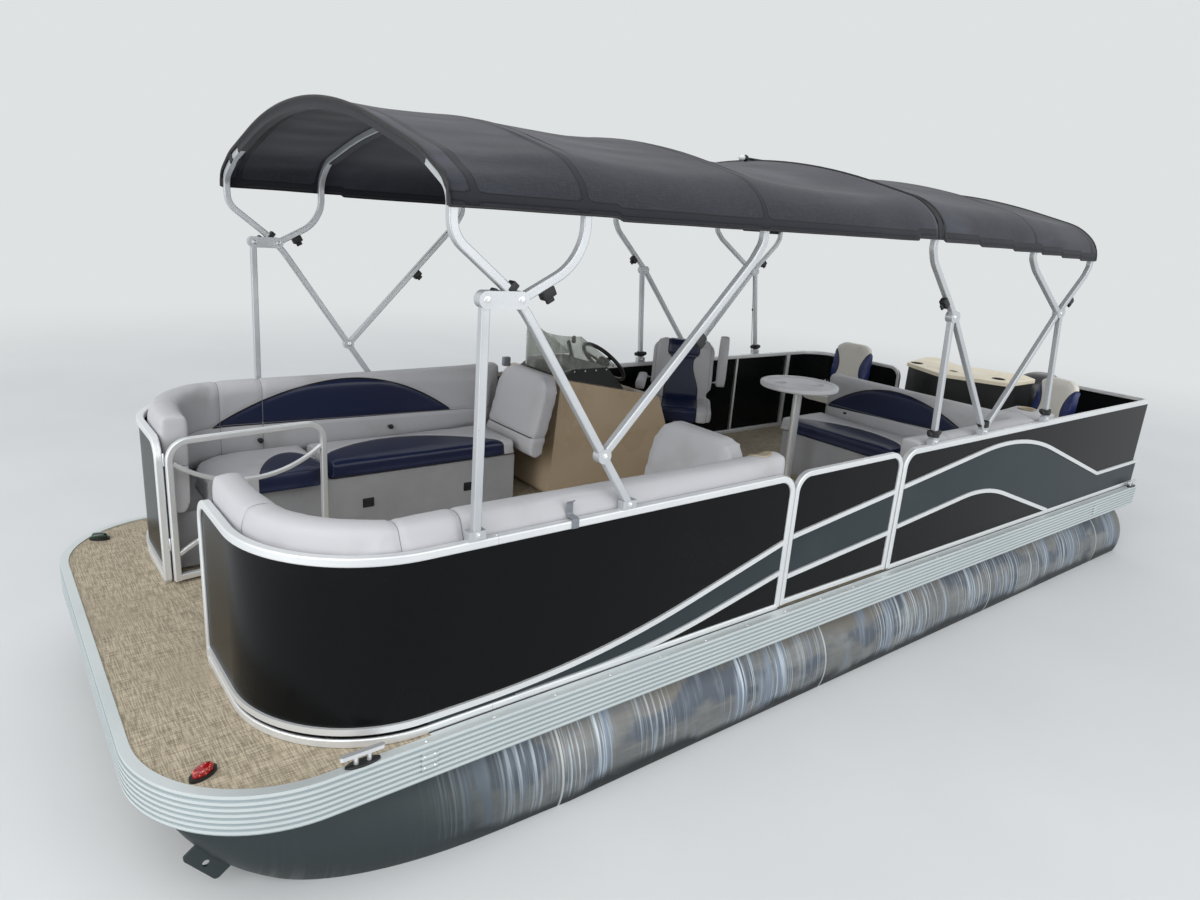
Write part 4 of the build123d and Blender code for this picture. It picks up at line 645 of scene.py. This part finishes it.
def sheet_mesh(name, rows, seams):
    """Join rows of points into a mesh, with the distance to the nearest seam kept on its points."""
    across = len(rows[0])
    points = [p for row in rows for p in row]
    faces = [(i * across + j, i * across + j + 1, (i + 1) * across + j + 1, (i + 1) * across + j)
             for i in range(len(rows) - 1) for j in range(across - 1)]
    mesh = bpy.data.meshes.new(name)
    mesh.from_pydata(points, [], faces)
    hem_seam = 0.028
    values = []
    for row in rows:
        hem = 0.0
        lengths = [hem]
        for a, b in zip(row, row[1:]):
            hem += (b - a).length
            lengths.append(hem)
        for point, length in zip(row, lengths):
            offs = [point.x - x for x in seams] + [min(length, hem - length) - hem_seam]
            values.append(signed_nearest(offs))
    keep_on_points(mesh, "line", values)
    return mesh


def signed_nearest(offs):
    """Give the smallest of signed distances, with a sign that flips only on the lines themselves."""
    sign = 1.0
    for off in offs:
        sign = -sign if off < 0 else sign
    return sign * min(abs(off) for off in offs)


def pocket(form, row, gaps):
    """Add a sleeve of cloth that hangs from the sheet round an arch's tube, open at the gaps."""
    section = ((-0.03, 0.0008), (-0.0185, -0.01), (-0.0175, -0.0345), (0.0175, -0.0345),
               (0.0185, -0.01), (0.03, 0.0008))
    before = None
    for i, point in enumerate(row):
        out = square_to(row, i)
        if out.z < 0:
            out = -out
        if abs(point.y) > 1.1 or any(a < point.y < b for a, b in gaps):
            before = None
            continue
        ring = [form.verts.new(point + Vector((dx, 0, 0)) + out * dn) for dx, dn in section]
        if before:
            bridge(form, before, ring, closed=False)
        before = ring


def add_welt(form, rows, x, radius, rise):
    """Add a round welt across the top of the sheet at a station."""
    row = row_at(rows, x)
    line = []
    for i, point in enumerate(row):
        out = square_to(row, i)
        if out.dot(from_middle(point)) < 0:
            out = -out
        line.append(Vector((x, point.y, point.z)) + out * rise)
    add_tube(form, line, radius)


# Each canopy's arches, the dips between them, its seams, and its welts with their radii
canopies = {
    "front_canopy": ((2.542, 2.055, 1.185, -0.03), (0.012, 0.022, 0.05), (2.478, 2.07, 1.2),
                     ((2.563, 0.0075),)),
    "aft_canopy": ((-0.03, -1.05, -1.796), (0.02, 0.016), (-0.075, -1.035, -1.765),
                   ((-0.036, 0.007), (-0.085, 0.006), (-1.817, 0.006))),
}
sleeve_gaps = {2.542: ((-1.02, -0.93),), 2.055: ((-0.34, -0.22),), 1.185: ((-0.1, 0.05),),
               -1.05: ((-0.1, 0.05),), -1.796: ((-0.1, 0.05),)}
canopy_tops = {}
for node, (arches, dips, seams, welts) in canopies.items():
    flat_rows, wide, long = canopy_rows(node, 121, 97)
    rows = hang(flat_rows, arches, dips)
    cloth = new_piece(node + "_cloth", sheet_mesh(node + "_cloth", rows, seams), "boat", canvas)
    cloth.data.shade_smooth()
    canopy_tops[node] = skin_of(cloth.data)
    thicken = cloth.modifiers.new("cloth_thickness", "SOLIDIFY")
    thicken.thickness = cloth_thickness
    thicken.offset = 0
    apply_modifiers(cloth)
    form = bmesh.new()
    for x in arches:
        if x in sleeve_gaps:
            pocket(form, row_at(flat_rows, x), sleeve_gaps[x])
    sleeves = from_form(form, node + "_sleeves", canvas, smooth=60)
    form = bmesh.new()
    for x, radius in welts:
        add_welt(form, rows, x, radius, 0.002)
    for j in (0, -1):
        add_tube(form, [row[j] for row in rows], 0.0042)
    edging = from_form(form, node + "_welts", black_shell, smooth=60)
    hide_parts(node)


# Padded pieces: each starts as its CAD solid, a little smaller, and swells under its cover

def arc_over_chord(s, t, peak, first, last):
    """Give how far a point is inside the shape between a chord and an arc with one peak."""
    end = first if s < peak[0] else last
    arc = peak[1] + (end[1] - peak[1]) * ((s - peak[0]) / (end[0] - peak[0])) ** 2
    chord = first[1] + (last[1] - first[1]) * (s - first[0]) / (last[0] - first[0])
    return min(arc - t, t - chord)


def bow_back_inlay(p):
    """Navy crescent on the bow backs' inner face."""
    return min(arc_over_chord(p.x, p.z, (1.979, 1.3), (1.318, 1.056), (2.72, 1.084)),
               1.165 - abs(p.y))


def bow_back_lines(p):
    """Seams of the bow backs: the lengthwise one, and those across the roll."""
    rise = p.z - (1.049 + 0.0255 * (min(p.x, 2.75) - 1.146))
    outer = smooth_step(abs(p.y), 1.13, 1.17)
    return [rise + 0.4 * outer, p.x - 2.68, p.x - 2.46, abs(p.y) - 0.78]


def bow_seat_inlay(p):
    """Navy front of the bow seats, with a bowed edge on the top."""
    return 0.922 - 0.18 * ((p.x - 1.8) / 0.45) ** 2 - abs(p.y)


def corner_inlay(p):
    """Navy wedge of the corner cushions."""
    half = 0.2 if p.x > 2.4 else 0.125
    return 0.866 - 0.23 * ((p.x - 2.4) / half) ** 2 - abs(p.y)


def bench_inlay(p):
    """Navy front of the aft bench."""
    return min(p.x - (-1.28 + 0.22 * ((p.y - 0.22) / 0.52) ** 2), p.y + 0.255)


def return_inlay(p):
    """Navy inner edge of the return cushion."""
    return 0.735 - 0.1 * ((p.x + 0.95) / 0.5) ** 2 - p.y


def aft_back_inlay(p):
    """Navy crescent on the bench's back."""
    return min(arc_over_chord(p.y, p.z, (0.243, 1.232), (-0.31, 1.012), (0.84, 1.055)), p.x + 1.6)


def aft_back_lines(p):
    """Seams of the aft backs: the lengthwise one, and where the roll meets the arm box."""
    return [p.z - 1.03 + 0.5 * smooth_step(-p.x, 1.56, 1.6) + 0.5 * smooth_step(p.y, 1.11, 1.15),
            p.x + 1.655 if p.y > 0.88 else 1.0, p.x + 0.62 if p.y > 1.0 else 1.0]


def to_left(p, centre, turned):
    """Give how far to the left of a chair's middle a point is."""
    return (p.y - centre[1]) * cos(turned) - (p.x - centre[0]) * sin(turned)


def helm_inlay(p):
    """Navy middle of the helm chair, wide at the headrest and the foot and narrow at the waist."""
    waist = 0.075 + 0.04 * smooth_step(p.z, 1.3, 1.36) + 0.05 * smooth_step(1.27 - p.z, 0.0, 0.2)
    return waist - abs(to_left(p, helm_at, helm_turn))


def helm_lines(p):
    """Side bolsters of the helm chair, and the headrest's lower edge."""
    off = abs(to_left(p, helm_at, helm_turn))
    return [off - 0.205, p.z - 1.335 if off < 0.125 else 1.0]


def fishing_inlay(p, centre, turned):
    """Navy wedges at the sides of a fishing seat's back."""
    half = 0.105 + 0.085 * ((p.z - 1.2) / 0.17) ** 2
    return abs(to_left(p, centre, turned)) - half if p.z > 1.02 else -1.0


def chaise_lines(p):
    """Lower seam of the chaise backs, over the skirt."""
    return [p.z - 0.985]


def nothing(p):
    """Give no inlay."""
    return -1.0


def no_lines(p):
    """Give no seam."""
    return [1.0]


soft_pieces = [
    ("port_bow_backrest", "boat", 0.024, 0.014, bow_back_inlay, bow_back_lines),
    ("starboard_bow_backrest", "boat", 0.024, 0.014, bow_back_inlay, bow_back_lines),
    ("port_bow_seat_cushion", "port_bow_seat_lid", 0.02, 0.012, bow_seat_inlay, no_lines),
    ("starboard_bow_seat_cushion", "starboard_bow_seat_lid", 0.02, 0.012, bow_seat_inlay, no_lines),
    ("corner_cushions", "boat", 0.02, 0.012, corner_inlay, no_lines),
    ("chaise_backs", "boat", 0.02, 0.012, nothing, chaise_lines),
    ("aft_bench_cushion", "aft_bench_lid", 0.018, 0.012, bench_inlay, no_lines),
    ("aft_return_cushion", "boat", 0.02, 0.012, return_inlay, no_lines),
    ("aft_backrest", "boat", 0.022, 0.014, aft_back_inlay, aft_back_lines),
    ("helm_chair", "helm_chair", 0.018, 0.012, helm_inlay, helm_lines),
    ("inboard_armrest", "inboard_armrest", 0.011, 0.006, nothing, no_lines),
    ("outboard_armrest", "outboard_armrest", 0.011, 0.006, nothing, no_lines),
    ("starboard_fishing_seat", "starboard_fishing_seat", 0.014, 0.009, nothing, no_lines),
    ("port_fishing_seat", "port_fishing_seat", 0.014, 0.009, nothing, no_lines),
    ("starboard_fishing_seat_back", "starboard_fishing_back", 0.013, 0.009,
     lambda p: fishing_inlay(p, starboard_fish_at, 0.0), no_lines),
    ("port_fishing_seat_back", "port_fishing_back", 0.013, 0.009,
     lambda p: fishing_inlay(p, port_fish_at, port_fish_turn), no_lines),
]


def start_padding(node, voxel, swell):
    """Copy a soft node, make its mesh even and a little smaller, and give it a cover under pressure."""
    piece = copy_of(node, node + "_cover")
    remesh = piece.modifiers.new("even_mesh", "REMESH")
    remesh.mode = "VOXEL"
    remesh.voxel_size = voxel
    apply_modifiers(piece)
    mesh = piece.data
    shrink = swell * 0.55
    normals = [v.normal.copy() for v in mesh.vertices]
    for vertex, normal in zip(mesh.vertices, normals):
        vertex.co -= normal * shrink
    start = [v.co.copy() for v in mesh.vertices]
    cover = piece.modifiers.new("cover", "CLOTH").settings
    cover.quality = 4
    cover.use_pressure = True
    cover.uniform_pressure_force = 4
    cover.effector_weights.gravity = 0
    cover.tension_stiffness = 12
    cover.compression_stiffness = 12
    cover.bending_stiffness = 0.4
    return piece, start


def finish_padding(piece, start, swell, inlay, lines):
    """Cap how far the cover moved, keep it flat where it rests, then subdivide it and sink the seams."""
    mesh = piece.data
    low = min(p.z for p in start)
    for vertex, before in zip(mesh.vertices, start):
        move = vertex.co - before
        if move.length > swell:
            move.length = swell
        vertex.co = before + move * smooth_step(before.z, low + 0.004, low + 0.03)
    divide = piece.modifiers.new("smooth_cover", "SUBSURF")
    divide.levels = 1
    divide.render_levels = 1
    apply_modifiers(piece)
    mesh = piece.data
    inside = [inlay(v.co) for v in mesh.vertices]
    seams = [signed_nearest(lines(v.co)) for v in mesh.vertices]
    normals = [v.normal.copy() for v in mesh.vertices]
    for vertex, normal, let_in, seam in zip(mesh.vertices, normals, inside, seams):
        sink = 0.005 * exp(-(let_in / 0.01) ** 2) + 0.006 * exp(-(seam / 0.011) ** 2)
        vertex.co -= normal * min(sink, 0.007)
    keep_on_points(mesh, "inlay", inside)
    keep_on_points(mesh, "line", seams)
    mesh.shade_smooth()


started = [start_padding(node, voxel, swell) for node, body, voxel, swell, inlay, lines in soft_pieces]
for step in range(1, 21):
    bpy.context.scene.frame_set(step)
padded_skins = {}
for (node, body, voxel, swell, inlay, lines), (piece, start) in zip(soft_pieces, started):
    apply_modifiers(piece)
    finish_padding(piece, start, swell, inlay, lines)
    piece.data.materials.clear()
    piece.data.materials.append(cream_vinyl if "fishing" in node else grey_vinyl)
    padded_skins[node] = skin_of(piece.data)
    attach(piece, body)
    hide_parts(node)
bpy.context.scene.frame_set(1)


# Fittings. Each group is one piece of many small parts of one material

def drop(tree, point, direction):
    """Give where a ray meets a skin, and the face's direction there."""
    return tree.ray_cast(point, direction)[:2]


sides = (1, -1)
chrome = bmesh.new()
black = bmesh.new()
bright = bmesh.new()
screw_head = [(0, -1), (5.5, -1), (5.2, 0.8), (3.6, 2.6), (0, 3.2)]
bolt_head = [(0, -2), (12, -2), (12, 0.5), (8.5, 1), (8.5, 6), (6, 7.5), (0, 8)]

# Screws along the trim's lip and along the rails' top faces
for side in sides:
    for k in range(24):
        x = -3.2 + k * 0.265
        add_turned(chrome, screw_head, at(x, side * 1.279, lip_top))
    # Seven aft of the side gate and one forward; none at the starboard rail's aft end
    for x in [-2.95 + k * 0.36 for k in range(7)] + [2.35]:
        if side > 0 or x > -2.4:
            add_turned(chrome, screw_head, at(x, side * hoop_y, fence_top))

# Splice plates on the trim, each with four rivets
for side in sides:
    for x in (2.624, -2.666):
        add_block(bright, (0.062, 0.003, 0.072), at(x, side * 1.2965, 0.497), 0.0012)
        for dx in (-0.019, 0.019):
            for dz in (-0.022, 0.022):
                add_turned(chrome, screw_head, at(x + dx, side * 1.298, 0.497 + dz, lean=-side * pi / 2))

# Bolts on both faces of the frames' plates and feet
foot_x = (-0.365, -0.889, -1.658)
plate_bolts = [(2.3, 2.036), (2.425, 2.038), (1.915, 1.47), (-1.51, 1.93), (-0.312, 1.93)]
bolts = [(x, z, 0.019) for x, z in plate_bolts] + [(x, 1.262, 0.0172) for x in (1.775, 2.433, *foot_x)]
for side in sides:
    for x, z, off in bolts:
        for face in sides:
            add_turned(chrome, bolt_head, at(x, side * hoop_y + face * off, z, lean=-face * pi / 2))

# Quick-release clamps at the aft struts' feet, with a knob fore and aft
clamp_ring = [(22.5, 0), (27.5, 2), (28.5, 10), (28.5, 30), (27.5, 36), (22.5, 38), (22.5, 0)]
knob = [(0, 0), (5, 0), (5, 10), (13.5, 12), (15, 18), (13, 26), (6, 29), (0, 29.5)]
for side in sides:
    for x in foot_x:
        add_turned(black, clamp_ring, at(x, side * hoop_y, 1.285))
        add_turned(black, knob, at(x + 0.026, side * hoop_y, 1.304, tip=pi / 2))
        add_turned(black, knob, at(x - 0.024, side * hoop_y, 1.304, tip=-pi / 2))
        add_block(black, (0.03, 0.014, 0.022), at(x, side * (hoop_y - 0.03), 1.305), 0.004)

# Storage clips on the tubes, and the saddles by the pivots
frame_skins = [skin_of(nodes[name].data) for name in ("front_bimini_frame", "aft_bimini_frame")]
for side in sides:
    for x, z in ((2.185, 2.04), (1.5, 1.894), (-0.24, 2.018), (-1.62, 2.008)):
        hits = [skin.find_nearest(Vector((x, side * hoop_y, z))) for skin in frame_skins]
        met, normal = min(hits, key=lambda hit: hit[3])[:2]
        add_block(black, (0.036, 0.052, 0.034), facing(met + normal * 0.015, normal), 0.006)
        add_block(black, (0.012, 0.032, 0.02), facing(met + normal * 0.04, normal), 0.004)
    for x, z in ((2.33, 2.075), (2.395, 2.052)):
        add_block(black, (0.026, 0.035, 0.038), at(x, side * hoop_y, z, tip=-0.7), 0.004)

# Vents in the seat fronts, hinge tabs under the backs
for side in sides:
    for x in (1.428, 2.048):
        add_block(black, (0.064, 0.008, 0.052), at(x, side * 0.6185, 0.7), 0.0035)
        for k in range(3):
            slat = at(x, side * 0.6145, 0.686 + k * 0.014, lean=0.4)
            add_block(black, (0.05, 0.006, 0.005), slat, 0.001)
for node, side in (("starboard_bow_backrest", -1), ("port_bow_backrest", 1)):
    for x in (1.725, 2.481):
        met, normal = drop(padded_skins[node], (x, side * 0.9, 0.99), (0, side, 0))
        if met:
            add_block(black, (0.026, 0.01, 0.016), at(*met), 0.003)
            add_turned(black, knob, at(*met, lean=side * pi / 2))
met, normal = drop(padded_skins["aft_backrest"], (-1.2, -0.13, 0.99), (-1, 0, 0))
if met:
    add_block(black, (0.01, 0.026, 0.016), at(*met), 0.003)

# Gate hinges: pins on the hinges' axes that turn with their gates, and the side gate's own screws
hinge_pin = [(0, 0), (3, 0), (3.6, 1), (3.6, 57), (3, 58), (0, 58)]
for gate, x, y in (("bow_gate", 3.078, -0.376), ("side_gate", 0.771, 1.208)):
    pins = bmesh.new()
    for z in (0.72, 1.12):
        add_turned(pins, hinge_pin, at(x, y, z))
    if gate == "side_gate":
        for x in (0.08, 0.25, 0.42, 0.6):
            add_turned(pins, screw_head, at(x, 1.222, 1.241))
    from_form(pins, gate + "_hinges", bright_metal, gate)

# U loops under the bow's edge
for y, z in ((-0.808, 0.48), (-0.716, 0.52), (-0.132, 0.48), (-0.054, 0.52), (0.65, 0.48), (0.71, 0.52)):
    line = [(3.447 + 0.024 * sin(pi * k / 8), y + 0.022 * cos(pi * k / 8), z) for k in range(9)]
    add_tube(chrome, line, 0.003)

# All-round light lying on the aft canopy's crown
top, normal = drop(canopy_tops["aft_canopy"], (-0.18, 0, 2.2), (0, 0, 1))
stalk_z = top.z + 0.02
stalk_end = at(0.035, 0, stalk_z + 0.004, tip=pi / 2)
add_tube(black, [(0.02, 0, stalk_z + 0.004), (-0.24, 0, stalk_z)], 0.006)
add_turned(black, [(0, -18), (14, -14), (19, 0), (14, 14), (0, 18)], stalk_end)
for x in (-0.16, -0.235):
    add_block(black, (0.026, 0.044, 0.03), at(x, 0, stalk_z - 0.005), 0.006)
lens_form = bmesh.new()
add_turned(lens_form, [(0, 16), (15, 16), (17, 26), (15, 40), (8, 48), (0, 50)], stalk_end)

# Dash: gauges on its aft slope, switches, and the windshield's screws
slope_turn = -pi / 4
gauge = [(0, 0), (31, 0), (34, 4), (34, 10), (30, 12), (28, 8), (0, 7.5)]
bezel = [(33.5, 9), (35.5, 11), (33.5, 13), (31.5, 11), (33.5, 9)]
face = bmesh.new()
for y in (-0.72, -0.8, -0.9, -0.98):
    place = at(0.352, y, 1.283, tip=slope_turn)
    add_turned(black, gauge, place)
    add_turned(chrome, bezel, place)
    add_turned(face, [(0, 8.5), (27, 8.5), (27, 7.8)], place)
for k in range(5):
    add_block(black, (0.012, 0.016, 0.026), at(0.312, -0.7 - k * 0.03, 1.243, tip=slope_turn), 0.003)
for y, lean in ((-0.621, -pi / 2), (-1.134, pi / 2)):
    for k in range(4):
        add_turned(chrome, screw_head, at(0.44 + k * 0.085, y, 1.345, lean=lean))

# Wheel hub cap and the throttle's knob
rake = radians(44)
hub = at(0.287 - cos(rake) * 0.004, -0.85, 1.346 + sin(rake) * 0.004, tip=rake - pi / 2)
add_turned(black, [(43, -2), (44, 6), (36, 14), (18, 18), (0, 19)], hub)
add_turned(black, [(0, -12), (13, -12), (16, 0), (16, 28), (10, 36), (0, 38)], at(0.352, -1.113, 1.446))

# Cup inserts: tan ones in the port roll's end and the arm box, black ones in the station
insert = [(0, -40), (36, -40), (40, -2), (46, 3), (53, 4), (55, 1), (53, -2), (44, -3)]
station_insert = [(0, -19), (34, -19), (38, -4), (41.5, 1), (49, 2.5), (50, 0), (41, -1)]
tan_cups = bmesh.new()
box_cup = (-1.785, 1.0515)
met, normal = drop(padded_skins["aft_backrest"], (box_cup[0] + 0.062, box_cup[1], 1.6), (0, 0, -1))
add_turned(tan_cups, insert, at(*box_cup, met.z + 0.003), 32)
roll_cup = (0.915, 1.12)
before = None
for radius, rise in ((0.0, 0.0022), (0.033, 0.0022), (0.037, 0.005), (0.043, 0.0055), (0.047, 0.001)):
    ring = []
    for k in range(32):
        angle = 2 * pi * k / 32
        x = roll_cup[0] + radius * 1.25 * cos(angle)
        y = roll_cup[1] + radius * sin(angle)
        met, normal = drop(padded_skins["port_bow_backrest"], (x, y, 1.6), (0, 0, -1))
        ring.append(tan_cups.verts.new(met + normal * rise))
    if before:
        bridge(tan_cups, before, ring)
    before = ring
for x, y in ((-2.62, -0.276), (-2.658, 0.409)):
    add_turned(black, station_insert, at(x, y, 1.285), 32)

# Latch on the livewell lid, lying in the lid's face
lid_latch = bmesh.new()
add_turned(lid_latch, [(0, 0), (22, 0), (21, 2), (12, 3.5), (0, 4)],
           at(-2.587, 0.072, 1.286) @ Matrix.Diagonal((1, 1.5, 1, 1)), 28)

# Rail hook on the port side, and the small box forward of the console
hook = bmesh.new()
bends = [Vector((2.03, y, z)) for y, z in ((1.243, 1.215), (1.243, 1.249), (1.228, 1.252), (1.206, 1.252),
                                           (1.2, 1.262), (1.2, 1.3), (1.212, 1.308))]
for a, b in zip(bends, bends[1:]):
    add_block(hook, (0.03, 0.004, (b - a).length + 0.004), facing((a + b) / 2, b - a), 0.0012)
add_block(hook, (0.05, 0.036, 0.06), at(0.862, -1.165, 1.322), 0.006)

# Straps that hold the aft frame down on the starboard side, with small beads
for dx in (0.0, 0.03):
    add_tube(black, [(-1.552 + dx, -1.219, 1.9), (-1.64 + dx, -1.222, 1.262)], 0.0018)
    add_turned(black, [(0, -9), (6, -7), (6.5, 0), (6, 7), (0, 9)], at(-1.59 + dx, -1.2205, 1.62))

# Outboard cowl: the CAD cowl's form with soft corners, a seal round its foot and air slots
cowl_steps = 64


def cowl_rings():
    """Read the cowl's outside in rings from its foot to its crown, and soften them."""
    skin = skin_of(nodes["outboard_cowl"].data)
    low, high = (Vector(corner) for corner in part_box("outboard_cowl"))
    middle = (low + high) / 2
    rings = []
    for i in range(34):
        z = low.z + 0.003 + (high.z - low.z - 0.012) * i / 33
        ring = []
        for k in range(cowl_steps):
            out = Vector((cos(2 * pi * k / cowl_steps), sin(2 * pi * k / cowl_steps), 0))
            start = Vector((middle.x, middle.y, z)) + out
            ring.append(skin.ray_cast(start, -out)[0])
        rings.append(ring)
    for share in (0.86, 0.7, 0.52, 0.34, 0.17):
        spots = [(middle.x + (p.x - middle.x) * share, middle.y + (p.y - middle.y) * share)
                 for p in rings[33]]
        rings.append([skin.ray_cast((x, y, high.z + 1), (0, 0, -1))[0] for x, y in spots])
    for step in range(14):
        softer = [rings[0]]
        for i in range(1, len(rings)):
            above = rings[min(i + 1, len(rings) - 1)]
            softer.append([(rings[i - 1][k] + above[k] + rings[i][k - 1] + rings[i][(k + 1) % cowl_steps]
                            + rings[i][k] * 2) / 6 for k in range(cowl_steps)])
        rings = softer
    return rings


rings = cowl_rings()
cowl = bmesh.new()
grid = [[cowl.verts.new(p) for p in ring] for ring in rings]
for below, above in zip(grid, grid[1:]):
    bridge(cowl, below, above)
cowl.faces.new(grid[0])
cowl.faces.new(grid[-1])
cowl_piece = from_form(cowl, "outboard_cowl_shell", motor_shell, "outboard_head", 50)
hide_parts("outboard_cowl")
motor_trim = bmesh.new()
for i, radius in ((5, 0.0035), (6, 0.0025)):
    add_tube(motor_trim, rings[i], radius, 8, closed=True)
aft_face = min(p.x for p in rings[24])
for row in rings[22:26]:
    slot = [p + Vector((-0.001, 0, 0)) for p in row if p.x < aft_face + 0.035]
    slot.sort(key=lambda p: p.y)
    add_tube(motor_trim, slot, 0.004)
from_form(motor_trim, "outboard_trim", black_shell, "outboard_head", 60)

# Black pads under the cleats' feet, strips that close the gap between rails and trim, and a thin black
# line of painted shade along that gap
strips = bmesh.new()
for side in sides:
    for x in (2.85, -3.33):
        add_turned(black, [(0, 0), (1000, 0), (1000, 5), (920, 7.2), (0, 7.2)],
                   at(x, side * 1.2735, lip_top) @ Matrix.Diagonal((0.06, 0.0205, 1, 1)), 32)
    add_block(strips, (5.95, 0.0205, 0.005), at(-0.375, side * 1.252, 0.5628), 0.001)
    # This black tube is painted shade: a dark line where the gap between rail and trim falls in shadow.
    add_tube(black, [(-3.35, side * 1.2425, 0.566), (2.6, side * 1.2425, 0.566)], 0.0022)

# The table's raised rim
table_ring = bmesh.new()
add_turned(table_ring, [(222, 0.2), (228, 4), (238, 7.5), (252, 7.8), (262.5, 3), (266.2, -6),
                        (265.5, -16), (260, -18)], at(*table_at, table_z), 64)
for sign in sides:
    add_turned(table_ring, [(41.5, -2), (42.5, 1.8), (46, 2.5), (49, 0.4)],
               at(table_at[0] + sign * 0.095, table_at[1] - sign * 0.085, table_z), 40)

# Signal lenses over the bow lights
for name, side, finish in (("port_lens", 1, red_lens), ("starboard_lens", -1, green_lens)):
    form = bmesh.new()
    place = at(3.278, side * 1.062, 0.571, turn=side * radians(26))
    add_turned(form, [(1000, 0), (1000, 12), (930, 18), (750, 22.2), (400, 24.5), (0, 25)],
               place @ Matrix.Diagonal((0.0362, 0.0188, 1, 1)), 36)
    from_form(form, name, finish, smooth=60)

# Vinyl skirts under the ends of the bow backs, pulled in between their edges

def skirt(form, side):
    """Add a skirt from the back's end round to the seat's front, with folds that hang in it."""
    plan = [(3.035, 0.472), (2.96, 0.47), (2.88, 0.48), (2.8, 0.52), (2.72, 0.58), (2.66, 0.612)]
    line, long = resample([Vector((x, y, 0)) for x, y in plan], 33)
    rows = []
    for k in range(15):
        z = 0.585 + 0.272 * k / 14
        rows.append([])
        for i, p in enumerate(line):
            s = i / 32
            held = sin(pi * s)
            pull = 0.01 * held * sin(pi * k / 14)
            fold = 0.004 * noise.noise(Vector((s * 5 + k * 0.16, k * 0.35, side * 2.0))) * held
            rows[-1].append(form.verts.new((p.x, side * (p.y + pull + fold), z)))
    for low, high in zip(rows, rows[1:]):
        bridge(form, low, high, closed=False)


skirts = bmesh.new()
for side in sides:
    skirt(skirts, side)
bmesh.ops.solidify(skirts, geom=skirts.faces[:], thickness=0.003)
skirt_piece = from_form(skirts, "seat_end_skirts", grey_vinyl, smooth=50)
for name, value in (("inlay", -1.0), ("line", 1.0)):
    keep_on_points(skirt_piece.data, name, [value] * len(skirt_piece.data.vertices))

# Black piping along the chaise backs' lower seams
piping = bmesh.new()
for y_from, y_to in ((-1.045, -0.475), (0.475, 1.045)):
    line = []
    for k in range(33):
        y = y_from + (y_to - y_from) * k / 32
        met, normal = drop(padded_skins["chaise_backs"], (1.6, y, 0.985), (-1, 0, 0))
        if met:
            line.append(met + Vector((0.001, 0, 0)))
    add_tube(piping, line, 0.0035, 6)

from_form(chrome, "stainless_fittings", bright_metal)
from_form(black, "black_fittings", black_shell)
from_form(bright, "aluminium_fittings", trim_metal)
from_form(lens_form, "stern_light_lens", moulded_plastic("clear_white_lens", "#e4e6e6", "#d3d6d6", 0.12))
from_form(face, "gauge_faces", moulded_plastic("gauge_dial", "#2b2d30", "#3b3e42", 0.2))
bmesh.ops.remove_doubles(tan_cups, verts=tan_cups.verts[:], dist=0.00005)
from_form(tan_cups, "tan_cup_inserts", tan_insert)
from_form(strips, "deck_edge_strips", trim_metal)
from_form(table_ring, "table_rim", table_shell, smooth=60)
from_form(lid_latch, "livewell_latch", black_shell, "livewell_lid")
from_form(hook, "grey_hook_and_box", grey_hook)
from_form(piping, "chaise_piping", black_shell, smooth=60)

bpy.context.scene.view_settings.view_transform = "Standard"
